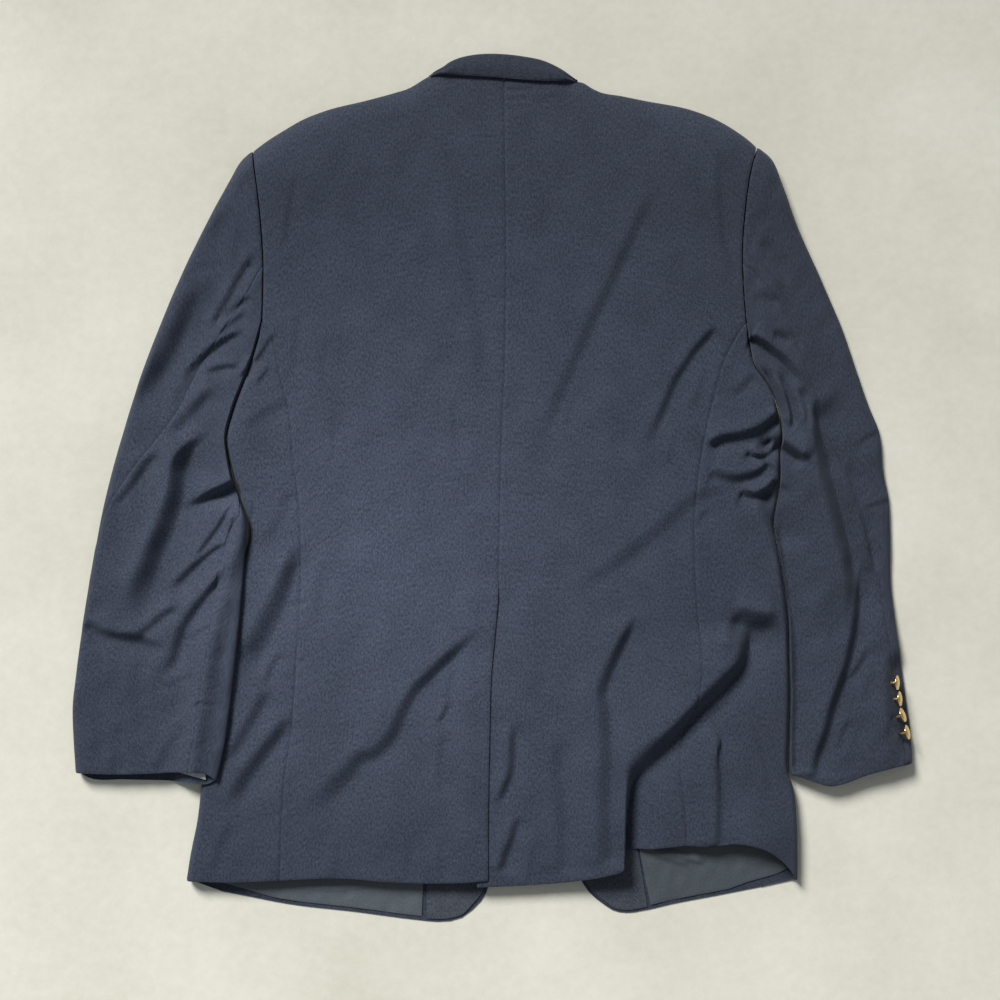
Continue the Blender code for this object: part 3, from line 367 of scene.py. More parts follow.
SIDE_FOLDS = (
    Fold(((213, 44), (228, 52), (246, 55), (262, 60), (275, 68), (284, 78)), 11, (9, 11, 9), 13, 13,
         start=0.1, end=0.06),
    Fold(((216, 20), (232, 14), (250, 14), (266, 20), (276, 30)), 8, (14, 10, 6), 12, 12, start=0.1, end=0.1),
    Fold(((254, 40), (264, 34), (272, 36), (284, 46)), 9, 6, 9, 8, start=0.1, end=0.1),
    Fold(((216, -18), (206, -28), (199, -38)), 2.1, 6.8, 8, 8),
    Fold(((262, 118), (250, 106), (236, 94)), 3.1, 10.8, 10, 12),
    Fold(((246, 0), (262, -4), (274, 2), (283, 12)), 10, (9, 7), 9, 12, start=0.1, end=0.1),
    Fold(((266, 0), (272, -20), (279, -42), (284, -66)), 10, (8, 15, 12, 6), 8, 20, above=0.1,
         start=0.15, end=0.35),
    Fold(((-203, 4), (-214, -24), (-230, -56)), 2, 14.9, 14, 14),
    Fold(((-196, -50), (-204, -78), (-214, -104), (-224, -126), (-234, -146), (-246, -164), (-254, -176)),
         11, (12, 24, 28), 24, 24, start=0.25),
    Fold(((-212, -160), (-222, -176), (-228, -196)), 2.9, 8.1, 10, 10),
    Fold(((-226, -196), (-238, -222), (-252, -246), (-266, -272)), 6, 14, 14, 16),
    Fold(((-203, -222), (-214, -240), (-228, -258), (-242, -276), (-254, -296), (-262, -320)),
         8.5, (14, 20), 20, 20),
    Fold(((-215, 159), (-224, 148), (-232, 136), (-239, 127)), 2.5, 4.7, 7, 8),
    Fold(((-223, 124), (-230, 114), (-237, 105)), 2.3, 5.4, 7, 8),
    Fold(((-202, 93), (-226, 79), (-251, 62)), 2.1, 12.2, 12, 14),
    Fold(((-251, -2), (-242, -9), (-243, -32)), 1.7, 3.5, 5, 5),
    Fold(((-200, -110), (-192, -111), (-184, -109)), 1, 3.5, 4, 4),
    Fold(((-202, -166), (-194, -168), (-184, -167)), 1, 3.5, 4, 4),
    Fold(((-208, -195), (-200, -197), (-192, -194)), 1, 3.5, 4, 4),
    Fold(((-208, -252), (-200, -253), (-188, -250)), 1, 3.5, 4, 4),
    Fold(((-262, -332), (-272, -352), (-280, -380)), 2, 10.8, 12, 12, end=0.05),
)
SLEEVE_FOLDS = (
    Fold(((-281, 61), (-292, 52), (-304, 42), (-313, 28), (-315, 8), (-320, -14), (-328, -38),
          (-338, -62), (-347, -86), (-355, -110), (-364, -138)), 15.5, (6, 12, 19, 22, 24, 26, 28),
         20, 30, above=0.5, start=0.22, end=0.25, crisp=-0.3),
    Fold(((-256, 9), (-270, 2), (-282, -3), (-296, -10), (-316, -19)), 17, (9, 9, 7), 13, 14,
         above=0.4, start=0.02, end=0.75, crisp=0.5),
    Fold(((-258, -8), (-266, -22), (-276, -38), (-288, -54), (-300, -70)), 3.8, 5.5, 8, 9),
    Fold(((-262, -52), (-274, -56), (-288, -66), (-302, -78), (-314, -90), (-324, -100)),
         5.5, (4.5, 10), 10, 12),
    Fold(((-257, -20), (-262, -40), (-267, -58)), 2.3, 4.3, 6, 7),
    Fold(((-264, -66), (-272, -84), (-284, -100), (-298, -118), (-310, -136), (-316, -154),
          (-321, -170), (-336, -186)), 7.5, (6, 11, 13), 14, 14, start=0.25),
    Fold(((-312, -114), (-330, -124), (-344, -136), (-358, -148)), 5.5, 8, 10, 10),
    Fold(((-280, -132), (-292, -140), (-308, -149)), 2.1, 4.3, 6, 7),
    Fold(((-406, -129), (-392, -141), (-374, -146), (-356, -148), (-340, -154), (-326, -160)),
         9, 11, 16, 18, start=0.1, crisp=-0.4),
    Fold(((-298, 210), (-304, 190), (-312, 169), (-323, 145), (-338, 120), (-354, 97), (-366, 84)),
         11, (18, 22), 22, 28, above=0.45),
    Fold(((-240, 194), (-250, 189), (-260, 181), (-270, 172)), 3.5, 6, 8, 8),
    Fold(((-246, 178), (-256, 172), (-266, 163), (-274, 154)), 4, 6, 7, 8),
    Fold(((-247, 160), (-260, 155), (-274, 147), (-288, 136), (-300, 124), (-312, 108)), 6, (5, 8), 9, 12),
    Fold(((-252, 124), (-266, 124), (-280, 121), (-288, 119)), 4.5, 6, 7, 9),
    Fold(((-300, 118), (-312, 100), (-322, 82)), 2.3, 10.8, 10, 12),
    Fold(((-280, 104), (-296, 86), (-310, 70), (-324, 54)), 5.2, 12.2, 14, 14),
    Fold(((-330, 40), (-344, 30), (-354, 16), (-366, 0), (-382, -18)), 4.4, 9, 12, 12),
    Fold(((-302, 221), (-284, 226), (-268, 228)), 1.6, 5.4, 6, 7),
    Fold(((-252, 225), (-244, 226), (-236, 223)), 1.3, 4.1, 5, 5),
    Fold(((-238, 238), (-243, 230), (-255, 211), (-268, 187), (-277, 173), (-285, 160)), 4.2, 5.5, 8, 9,
         start=0.15, end=0.15),
    Fold(((-240, 134), (-244, 123), (-251, 112)), 6.5, 6.8, 7, 8),
    Fold(((-280, -214), (-290, -210), (-302, -218)), 1.4, 3.5, 4, 5),
    Fold(((-294, -180), (-316, -190), (-332, -196)), 2.1, 10.8, 10, 10),
    Fold(((-306, -220), (-314, -240), (-326, -256), (-339, -280)), 2.3, 12.2, 12, 12, end=0.05),
    Fold(((-372, -226), (-378, -252), (-382, -282)), 1.6, 12.2, 12, 12, end=0.05),
    Fold(((318, 94), (321, 68), (325, 42), (331, 16), (338, -12), (344, -36), (350, -60), (354, -80),
          (356, -100), (353, -130)), 22, (7, 12, 17, 18, 17, 16, 15), 22, 24, above=0.45, start=0.12),
    Fold(((368, -72), (367, -92), (364, -111), (361, -130), (357, -152), (352, -174), (345, -195),
          (338, -215), (333, -235), (328, -250), (322, -270), (320, -288)), 11, (7, 10, 11), 18, 20,
         above=0.45, start=0.12, end=0.04, crisp=0.4),
    Fold(((348, 28), (358, 4), (369, -28), (377, -60), (383, -88)), 8, (7, 10), 10, 12),
    Fold(((277, 55), (290, 46), (300, 39), (315, 28)), 17, (13, 7), 12, 10, above=0.5, start=0.04,
         end=0.25, crisp=0.6),
    Fold(((257, 154), (273, 145), (282, 138), (291, 131), (302, 118), (313, 102)), 13, (6, 8, 7), 10, 10,
         above=0.35, start=0.04, end=0.3),
    Fold(((264, 124), (275, 106), (281, 88), (283, 66)), 13, 6, 6, 7, start=0.26, end=0.2),
    Fold(((282, 118), (291, 98), (296, 80), (298, 60)), 12, 6, 6, 7, start=0.28, end=0.2),
    Fold(((301, 104), (309, 88), (312, 62)), 10, 7, 7, 8, start=0.3, end=0.25),
    Fold(((279, 158), (289, 155), (299, 149)), 5, 6, 6, 7, above=0.1),
    Fold(((286, -12), (286.5, -60), (293, -112), (298, -150), (299.5, -200), (298.5, -250), (298, -284)),
         9, (8, 11, 12, 12, 11), 8, 22, above=0.2, start=0.15, end=0.03, crisp=0.3),
    Fold(((262, 250), (272, 232), (286, 214), (292, 200)), 4, 7, 10, 12),
    Fold(((258, 196), (272, 195), (288, 190)), 3, 9.5, 8, 10),
    Fold(((386, 60), (378, 55), (366, 50)), 2.3, 5.4, 6, 7, start=0.05),
    Fold(((397, -9), (384, -13), (371, -17)), 2.3, 5.4, 6, 7, start=0.05),
    Fold(((373, -154), (370, -165), (362, -180), (355, -192)), 5, 8, 8, 9),
    Fold(((358, -227), (351, -236), (347, -248), (346, -262)), 4, 8, 8, 9),
    Fold(((392, -162), (394, -200), (394, -254)), 4, 8, 8, 9),
    Fold(((377, -178), (373, -198), (366, -216)), 1.8, 9.5, 9, 9),
    Fold(((395, -225), (400, -234), (405, -244), (411, -260), (416, -272)), 4.5, 2.6, 4, 9, above=0.5,
         start=0.05, end=0.02),
    Fold(((397, -158), (399, -188), (403, -213), (407, -243), (410, -270)), 10.4, 13.5, 20, 40, above=0.0),
)
LINING_FOLDS = (
    Fold(((156, -362), (168, -368), (182, -373), (198, -378)), 2.2, 5, 6, 6, above=1.0),
    Fold(((168, -364), (188, -369), (214, -376)), 2.4, 6, 6, 6, above=1.0),
    Fold(((-120, -396), (-150, -402), (-190, -400)), 0.8, 5, 6, 6, above=1.0),
)


@dataclass(frozen=True)
class CuffButton:
    """The middle of a cuff button, and the way that it faces in degrees."""

    across: float
    up: float
    height: float
    facing: float
    tilt: float = 25.0


CUFF_BUTTONS = (
    CuffButton(402.6, -192, 19.4, 3), CuffButton(405.2, -208, 19.4, 6),
    CuffButton(408.2, -224, 19.0, 24), CuffButton(413.0, -241.5, 18.0, 16),
)


def through(points: np.ndarray | Sequence, knots: Sequence[float] | None = None) -> Callable:
    """A smooth curve through points.

    Args:
        points: The points, one a row, or plain values.
        knots: Place of each point; the share of the length when left out.

    Returns:
        A function from places to points.
    """
    values = np.array(points, float)
    if knots is None:
        steps = np.linalg.norm(np.diff(values, axis=0), axis=1)
        knots = np.concatenate([[0], np.cumsum(steps)]) / steps.sum()
    places = np.array(knots, float)
    slopes = np.gradient(values, places, axis=0)

    def at(share: np.ndarray) -> np.ndarray:
        share = np.clip(share, places[0], places[-1])
        i = np.clip(np.searchsorted(places, share, side="right") - 1, 0, len(places) - 2)
        span = places[i + 1] - places[i]
        t = (share - places[i]) / span
        if values.ndim > 1:
            t, span = t[..., None], span[..., None]
        return (
            values[i] * (1 + 2 * t) * (1 - t) ** 2
            + slopes[i] * span * t * (1 - t) ** 2
            + values[i + 1] * t**2 * (3 - 2 * t)
            + slopes[i + 1] * span * t**2 * (t - 1)
        )

    return at


def resampled(points: np.ndarray, shares: np.ndarray) -> np.ndarray:
    """Points of a fine line at shares of its length."""
    steps = np.concatenate([[0], np.cumsum(np.linalg.norm(np.diff(points, axis=0), axis=1))])
    return np.stack([np.interp(shares * steps[-1], steps, points[:, k]) for k in (0, 1)], axis=1)


def fine(rows: Rows) -> np.ndarray:
    """An outline as many close points."""
    return through(rows)(np.linspace(0, 1, 600))


def outline(rows: Rows, cells: int) -> np.ndarray:
    """Points along an outline at even spaces."""
    return resampled(fine(rows), np.linspace(0, 1, cells + 1))


def across_at(rows: Rows) -> Callable:
    """How far across an outline lies, by the height up the chart."""
    ordered = sorted((up, across) for across, up in rows)
    return through([row[1] for row in ordered], [row[0] for row in ordered])


def ease(share: np.ndarray) -> np.ndarray:
    """0 to 1 with level ends."""
    share = np.clip(share, 0, 1)
    return share * share * (3 - 2 * share)


def mixed(first: np.ndarray, second: np.ndarray, share: np.ndarray) -> np.ndarray:
    """A blend from the first to the second."""
    return first * (1 - share) + second * share


def unit(vectors: np.ndarray) -> np.ndarray:
    """Vectors scaled to length one."""
    return vectors / np.maximum(np.linalg.norm(vectors, axis=-1, keepdims=True), 1e-9)


def level_out(way: np.ndarray, turn: int) -> np.ndarray:
    """The level direction square to a line's way: to its right, or to its left where turn is -1."""
    return unit(np.stack([way[..., 1], -way[..., 0], 0 * way[..., 0]], axis=-1) * turn)


def turned(face: np.ndarray, out: np.ndarray, turn: np.ndarray) -> np.ndarray:
    """The direction square to cloth that turns from facing out, at 0, to a face at a quarter turn."""
    return unit(face * np.sin(turn)[..., None] + out * np.cos(turn)[..., None])


def side_word(away: int) -> str:
    """left or right, in the picture."""
    return "left" if away < 0 else "right"


def lifted(plan: np.ndarray, height: np.ndarray) -> np.ndarray:
    """Plan points with their heights."""
    return np.concatenate([plan, height[..., None]], axis=-1)


def shares_with_edges(length: float, spacing: float, near: Sequence[float] = (0.5, 1.2, 2.2)) -> np.ndarray:
    """Shares along a length at even spaces, closer together next to both ends."""
    inner = np.linspace(near[-1], length - near[-1], max(int(length / spacing), 2))
    marks = np.concatenate([[0], near[:-1], inner, length - np.array(near[:-1])[::-1], [length]])
    return marks / length


def coons(top: np.ndarray, bottom: np.ndarray, start: np.ndarray, end: np.ndarray,
          a: np.ndarray, b: np.ndarray) -> np.ndarray:
    """A grid of plan points between four outlines.

    Args:
        top: Points along the top, one for each share in a.
        bottom: The same along the bottom.
        start: Points down the first side, one for each share in b.
        end: The same down the last side.
        a: Shares along the top.
        b: Shares down the sides.

    Returns:
        The plan points, with the first index along the top.
    """
    a, b = a[:, None, None], b[None, :, None]
    return (
        (1 - b) * top[:, None] + b * bottom[:, None] + (1 - a) * start[None] + a * end[None]
        - (1 - b) * ((1 - a) * top[0] + a * top[-1])
        - b * ((1 - a) * bottom[0] + a * bottom[-1])
    )


def near_line(line: np.ndarray, plan: np.ndarray) -> tuple[np.ndarray, np.ndarray, np.ndarray]:
    """Nearest place on a line to each plan point.

    Args:
        line: Points of the line.
        plan: Plan points.

    Returns:
        The share along the line, the distance to its left, and its direction there.
    """
    ahead = np.gradient(line, axis=0)
    shape = plan.shape[:-1]
    flat = plan.reshape(-1, 2)
    nearest = np.empty(len(flat), int)
    for first in range(0, len(flat), 20000):
        block = flat[first:first + 20000, None] - line
        nearest[first:first + 20000] = (block**2).sum(axis=-1).argmin(axis=-1)
    apart, way = flat - line[nearest], ahead[nearest]
    size = np.linalg.norm(way, axis=-1)
    along = (nearest + (apart * way).sum(axis=-1) / size**2) / (len(line) - 1)
    aside = (way[:, 0] * apart[:, 1] - way[:, 1] * apart[:, 0]) / size
    return along.reshape(shape), aside.reshape(shape), (way / size[:, None]).reshape(plan.shape)


def distance_to(line: np.ndarray, plan: np.ndarray) -> np.ndarray:
    """Distance of each plan point from a line, its ends included."""
    along, _, _ = near_line(line, plan)
    place = np.clip(along, 0, 1) * (len(line) - 1)
    i = np.clip(place.astype(int), 0, len(line) - 2)
    nearest = line[i] + (line[i + 1] - line[i]) * (place - i)[..., None]
    return np.linalg.norm(plan - nearest, axis=-1)


@dataclass
class Relief:
    """The folds and mounds of the cloth, as one height over the whole garment."""

    folds: Sequence[Fold]
    mounds: Sequence[Mound]
    lines: list[np.ndarray] = field(default_factory=list)

    def __post_init__(self) -> None:
        self.lines = [outline(fold.line, 60) for fold in self.folds]

    def near(self, fold: Fold, line: np.ndarray, plan: np.ndarray) -> np.ndarray:
        """Which plan points a fold can reach."""
        reach = 2.6 * max(fold.near, fold.far)
        low, high = line.min(axis=0) - reach, line.max(axis=0) + reach
        return ((plan > low) & (plan < high)).all(axis=-1)

    def step(self, fold: Fold, line: np.ndarray, plan: np.ndarray) -> tuple[np.ndarray, ...]:
        """How much of a fold's upper and lower share each plan point has, and the way to its shade."""
        along, aside, way = near_line(line, plan)
        aside = aside * fold.away
        taper = ease(along / fold.start) * ease((1 - along) / fold.end)
        widths = np.atleast_1d(fold.width)
        width = np.interp(along, np.linspace(0, 1, len(widths)), widths)
        share = np.clip(aside / width + 0.5, 0, 1)
        sharp = share**2 if fold.crisp > 0 else 1 - (1 - share) ** 2
        below = mixed(ease(share), sharp, abs(fold.crisp))
        upper = np.exp(-((aside / fold.near) ** 2)) * (1 - below) * taper
        lower = np.exp(-((aside / fold.far) ** 2)) * below * taper
        return upper, lower, np.stack([-way[..., 1], way[..., 0]], axis=-1) * fold.away

    def rise(self, plan: np.ndarray) -> np.ndarray:
        """What the folds and mounds add to the height at each plan point."""
        total = np.zeros(plan.shape[:-1])
        for mound in self.mounds:
            away = ((plan[..., 0] - mound.across) / mound.reach_across) ** 2
            away = away + ((plan[..., 1] - mound.up) / mound.reach_up) ** 2
            total = total + mound.rise * np.exp(-away)
        for fold, line in zip(self.folds, self.lines):
            chosen = self.near(fold, line, plan)
            if not chosen.any():
                continue
            upper, lower, _ = self.step(fold, line, plan[chosen])
            total[chosen] += fold.drop * (fold.above * upper - (1 - fold.above) * lower)
        return total

    def shift(self, plan: np.ndarray) -> np.ndarray:
        """How far the folds that overhang carry each plan point out over their shade."""
        total = np.zeros(plan.shape)
        for fold, line in zip(self.folds, self.lines):
            chosen = self.near(fold, line, plan) if fold.overhang else np.zeros(plan.shape[:-1], bool)
            if not chosen.any():
                continue
            upper, _, out = self.step(fold, line, plan[chosen])
            total[chosen] += out * (fold.overhang * upper)[..., None]
        return total


RELIEF = Relief(BACK_FOLDS + SIDE_FOLDS + SLEEVE_FOLDS, MOUNDS)
LINING_RELIEF = Relief(LINING_FOLDS, ())


def ripple(plan: np.ndarray, waves: int = 14, length: float = 46.0) -> np.ndarray:
    """A faint even unrest of the cloth, from -1 to 1."""
    total = np.zeros(plan.shape[:-1])
    for k in range(waves):
        turn, size = 2.39996 * k, length * (0.6 + 0.9 * ((k * 7) % 5) / 5)
        along = plan[..., 0] * math.cos(turn) + plan[..., 1] * math.sin(turn) * 0.8
        total += np.sin(along * 2 * math.pi / size + 1.7 * k)
    return total / math.sqrt(waves)


BACK_LOFT = through([loft.back for loft in LOFTS], [loft.up for loft in LOFTS])
SLEEVE_LOFT = through([loft.sleeve for loft in LOFTS], [loft.up for loft in LOFTS])
SIDE_EDGE_AT = across_at(SIDE_EDGE_LEFT)
VENT_AT = across_at(tuple(CENTRE_SEAM) + tuple(VENT_OVER[1:]))


def back_height(plan: np.ndarray) -> np.ndarray:
    """Height of the body's upper cloth."""
    return BACK_LOFT(plan[..., 1]) + RELIEF.rise(plan) + 0.25 * ripple(plan)


def vent_height(plan: np.ndarray) -> np.ndarray:
    """Height of the left back, which lies over the right back's underlap below the vent's top."""
    up = plan[..., 1]
    near = ease(1 - (VENT_AT(up) - plan[..., 0] - VENT_WIDTH) / VENT_FADE)
    return back_height(plan) + VENT_LIFT * ease((VENT_TOP - up) / 26) * near


def over_body(plan: np.ndarray) -> np.ndarray:
    """Height of the left sleeve's lower layer, which climbs over the edge of the body."""
    up = plan[..., 1]
    inward = plan[..., 0] - SIDE_EDGE_AT(up)
    height = BACK_LOFT(up) + RELIEF.rise(plan) + 1.2
    return height * ease((inward + 38) / 34) * ease((0 - up) / 30)


def sleeve_base(plan: np.ndarray, armhole: np.ndarray) -> np.ndarray:
    """Height of a sleeve's upper cloth before it climbs over anything."""
    share = ease(distance_to(armhole, plan) / 60)
    loft = mixed(BACK_LOFT(plan[..., 1]), SLEEVE_LOFT(plan[..., 1]), share)
    return loft + RELIEF.rise(plan) + 0.5 * ripple(plan, length=34)


SIDE_EDGE_LINE = outline(SIDE_EDGE_RIGHT, 120)
SLEEVE_OUTER_LINE = outline(SLEEVE_OUTER_RIGHT, 120)
ARMHOLE_LINES = {-1: outline(ARMHOLE_LEFT, 60), 1: outline(ARMHOLE_RIGHT, 60)}


def sleeve_height_left(plan: np.ndarray) -> np.ndarray:
    """Height of the left sleeve's upper cloth."""
    thin = ease((plan[..., 0] - SIDE_EDGE_AT(plan[..., 1]) + 12) / 20)
    return sleeve_base(plan, ARMHOLE_LINES[-1]) + (0.78 - 0.3 * thin) * over_body(plan)


def sleeve_height_right(plan: np.ndarray) -> np.ndarray:
    """Height of the right sleeve's upper cloth."""
    up = plan[..., 1]
    beside = np.exp(-((distance_to(SIDE_EDGE_LINE, plan) / 17) ** 2)) * ease((40 - up) / 70)
    outer = (1 - ease(distance_to(SLEEVE_OUTER_LINE, plan) / 70)) * ease((290 - up) / 120)
    height = sleeve_base(plan, ARMHOLE_LINES[1]) - 3.0 * beside - 7.0 * outer * ease((up + 175) / 80)
    return np.maximum(height, LEAST_LOFT)


def on_floor(plan: np.ndarray) -> np.ndarray:
    """The floor's height."""
    return np.zeros(plan.shape[:-1])


def facing_up(height: Height, plan: np.ndarray) -> np.ndarray:
    """Direction square to the cloth that a height function describes."""
    step = 0.7
    slopes = [
        (height(plan + np.array(move) * step) - height(plan - np.array(move) * step)) / (2 * step)
        for move in ((1.0, 0.0), (0.0, 1.0))
    ]
    return unit(np.stack([-slopes[0], -slopes[1], np.ones_like(slopes[0])], axis=-1))


def rolled(plan: np.ndarray, shoulder: Rows, away: int) -> tuple[np.ndarray, np.ndarray]:
    """Turn of the cloth over the shoulder line.

    Args:
        plan: Plan points.
        shoulder: The shoulder line.
        away: -1 on the left half, 1 on the right.

    Returns:
        The angle of the turn, a quarter turn away from the line, and the way out across it.
    """
    line = outline(shoulder, 120)
    _, _, way = near_line(line, plan)
    turn = np.arccos(1 - np.clip(distance_to(line, plan) / SHOULDER_REACH, 0, 1))
    return turn, level_out(way, -away)


def dropped(height: np.ndarray, edge: float, turn: np.ndarray) -> np.ndarray:
    """A height that comes down to an edge's own where the cloth turns over it."""
    return edge + (height - edge) * np.sin(turn)


@dataclass(frozen=True)
class Seam:
    """How cloth turns down at an edge, and the small waves beside its stitching."""

    depth: float
    reach: float
    pucker: float = 0.0
    spacing: float = 17.0


CENTRE_STITCHES = Seam(0.7, 1.3, 0.22)
SIDE_BACK_STITCHES = Seam(0.8, 1.4, 0.3)
SIDE_STITCHES = Seam(0.8, 1.4, 0.3, 19.0)
SLEEVE_STITCHES = Seam(0.7, 1.3, 0.2)
ARMHOLE_STITCHES = Seam(0.8, 1.3, 0.25)
NECK_EDGE = Seam(0.5, 1.2)
PRESSED_EDGE = Seam(0.5, 1.0)
LINING_EDGE = Seam(0.3, 0.8)


@dataclass
class Cloth:
    """One face of a piece of cloth: a grid of points and the directions square to it."""

    points: np.ndarray
    square: np.ndarray

    def distances(self, axis: int) -> tuple[np.ndarray, np.ndarray]:
        """Distance of each point from the first and last edge along a grid axis."""
        steps = np.linalg.norm(np.diff(self.points, axis=axis), axis=-1)
        start = np.zeros([1 if k == axis else n for k, n in enumerate(self.points.shape[:2])])
        run = np.concatenate([start, np.cumsum(steps, axis=axis)], axis=axis)
        last = np.take(run, [-1], axis=axis)
        return run, last - run

    def edge(self, side: str) -> tuple[np.ndarray, np.ndarray]:
        """Distance of each point from one edge, and the distance along that edge."""
        axis, last = {"start": (0, 0), "end": (0, 1), "top": (1, 0), "bottom": (1, 1)}[side]
        return self.distances(axis)[last], self.distances(1 - axis)[0]

    def dipped(self, sides: str, seam: Seam) -> Cloth:
        """The cloth turned down at some edges, as at a seam or a pressed hem.

        Args:
            sides: Names of the edges, with spaces between.
            seam: How it turns down there.

        Returns:
            The changed cloth.
        """
        drop = np.zeros(self.points.shape[:2])
        for side in sides.split():
            distance, along = self.edge(side)
            drop = drop + seam.depth * np.exp(-((distance / seam.reach) ** 2))
            wave = np.sin(along * 2 * math.pi / seam.spacing + 2 * np.sin(along / 41.0))
            drop = drop + seam.pucker * wave * np.exp(-distance / 7) * (1 - np.exp(-distance / 1.5))
        return Cloth(self.points - self.square * drop[..., None], self.square)

    def stitched(self, side: str, inset: float, depth: float, width: float = 0.9) -> Cloth:
        """The cloth with a fine pressed line along one edge, at a distance in from it."""
        distance, _ = self.edge(side)
        drop = depth * np.exp(-(((distance - inset) / width) ** 2))
        return Cloth(self.points - self.square * drop[..., None], self.square)

    def trimmed(self, gap: float) -> Cloth:
        """The cloth with each edge brought in by a gap."""
        grid = self.points
        for axis in (0, 1):
            grid = np.moveaxis(grid, axis, 0)
            start, end = unit(grid[1] - grid[0]) * gap, unit(grid[-2] - grid[-1]) * gap
            grid = np.concatenate([[grid[0] + start], grid[1:-1], [grid[-1] + end]])
            grid = np.moveaxis(grid, 0, axis)
        return Cloth(grid, self.square)

    def cut_size(self) -> tuple[float, float, float]:
        """Width, length and area of the flat cut, in metres and square metres."""
        across, down = self.distances(0)[0][-1], self.distances(1)[0][:, -1]
        corner = self.points[:-1, :-1]
        first, second = self.points[1:, :-1] - corner, self.points[:-1, 1:] - corner
        area = np.linalg.norm(np.cross(first, second), axis=-1).sum()
        width, length = float(across.max()), float(down.max())
        return width * MM, length * MM, min(float(area) * MM * MM, width * length * MM * MM)


class Weave(Enum):
    """Kinds of cloth: stretch of the yarns, turn of the twill in degrees, and how much it shines."""

    WORSTED = (0.55, 62.0, 0.25)
    SATIN = (0.8, 0.0, 0.5)


@dataclass(frozen=True)
class ClothFinish:
    """Colour and surface of a cloth."""

    name: str
    weave: Weave
    dark: tuple[float, float, float]
    light: tuple[float, float, float]
    roughness: float
    sheen: float
    relief: float
    slot: str


@dataclass(frozen=True)
class MetalFinish:
    """Colour and surface of the button metal."""

    name: str
    colour: tuple[float, float, float]
    roughness: float
    slot: str


WOOL = ClothFinish(
    "navy_worsted", Weave.WORSTED, (0.029, 0.038, 0.062), (0.086, 0.106, 0.161), 0.85, 0.12, 0.3,
    "wool",
)
# painted shade: the same navy worsted, darkened to stand for the shade on the collar
COLLAR_WOOL_SHADED = ClothFinish(
    "navy_worsted_collar_painted_shade", Weave.WORSTED, (0.028, 0.035, 0.056), (0.072, 0.088, 0.130), 0.85, 0.12,
    0.3, "wool",
)
FACING_WOOL = ClothFinish(
    "navy_worsted_facing", Weave.WORSTED, (0.055, 0.066, 0.092), (0.125, 0.148, 0.190), 0.8, 0.12, 0.3,
    "wool",
)
LINING_LEFT = ClothFinish(
    "grey_lining_left", Weave.SATIN, (0.072, 0.087, 0.103), (0.104, 0.125, 0.147), 0.5, 0.1, 0.1,
    "lining",
)
# painted shade: the same grey lining as the left, darkened to stand for the shade on the right
LINING_RIGHT_SHADED = ClothFinish(
    "grey_lining_right_painted_shade", Weave.SATIN, (0.048, 0.060, 0.072), (0.072, 0.088, 0.105), 0.5, 0.1, 0.1,
    "lining",
)
# the lining's own silver grey, made paler with painted sheen
CUFF_LINING = ClothFinish(
    "pale_lining_and_painted_sheen", Weave.SATIN, (0.42, 0.45, 0.47), (0.55, 0.58, 0.60), 0.45, 0.1, 0.1, "lining",
)
BUTTON_METAL = MetalFinish("button_metal_look", (0.80, 0.58, 0.25), 0.22, "button_metal")


Feed = bpy.types.NodeSocket | float | tuple[float, ...]


@dataclass
class Nodes:
    """A new material's nodes, with short ways to add and join them."""

    name: str

    def __post_init__(self) -> None:
        self.material = bpy.data.materials.new(self.name)
        self.material.use_nodes = True
        self.tree = self.material.node_tree
        self.shader = self.tree.nodes["Principled BSDF"]

    def feed(self, node: bpy.types.Node, **values: Feed) -> None:
        """Joins sockets to a node's own, or gives those plain values; _ stands for a space."""
        for name, value in values.items():
            socket = node.inputs[name.replace("_", " ")]
            if isinstance(value, bpy.types.NodeSocket):
                self.tree.links.new(value, socket)
            else:
                socket.default_value = value

    def add(self, kind: str, settings: dict[str, str] | None = None, out: str = "",
            **values: Feed) -> bpy.types.NodeSocket:
        """A new node.

        Args:
            kind: Its type, without the first word.
            settings: Its settings.
            out: Name of the output that is used; the first when left out.
            values: What its sockets take.

        Returns:
            The output.
        """
        node = self.tree.nodes.new(f"ShaderNode{kind}")
        for name, value in (settings or {}).items():
            setattr(node, name, value)
        self.feed(node, **values)
        return node.outputs[out] if out else node.outputs[0]

    def noise(self, place: bpy.types.NodeSocket, scale: float, detail: float,
              roughness: float = 0.5) -> bpy.types.NodeSocket:
        """A noise from 0 to 1."""
        return self.add(
            "TexNoise", out="Fac", Vector=place, Scale=scale, Detail=detail, Roughness=roughness,
        )

    def ramp(self, share: bpy.types.NodeSocket, *stops: tuple[float, tuple]) -> bpy.types.NodeSocket:
        """A colour between two stops, each a place and its colour."""
        colour = self.add("ValToRGB", Fac=share)
        for stop, (place, shade) in zip(colour.node.color_ramp.elements, stops):
            stop.position = place
            stop.color = (*shade, 1.0)
        return colour


def painted_light_falloff(nodes: Nodes, colour: bpy.types.NodeSocket) -> bpy.types.NodeSocket:
    """The colour with painted light laid over it: paler at the middle of the back, darker outwards, most
    towards the collar and the right sleeve.

    Args:
        nodes: The material's nodes.
        colour: The even colour.

    Returns:
        The colour with the change laid over it.
    """
    place = nodes.add("TexCoord", out="Object")
    spread = nodes.add(
        "Mapping", {"vector_type": "TEXTURE"}, Vector=place, Location=(-0.12, -0.07, 0.0),
        Scale=(0.56, 0.60, 1.0),
    )
    # painted light: a bright spot on the middle of the back that falls off outwards
    spot = nodes.add("TexGradient", {"gradient_type": "QUADRATIC_SPHERE"}, out="Fac", Vector=spread)
    painted_light_factor = nodes.add("MapRange", Value=spot, To_Min=0.55, To_Max=1.22)
    return nodes.add("VectorMath", {"operation": "SCALE"}, Vector=colour, Scale=painted_light_factor)


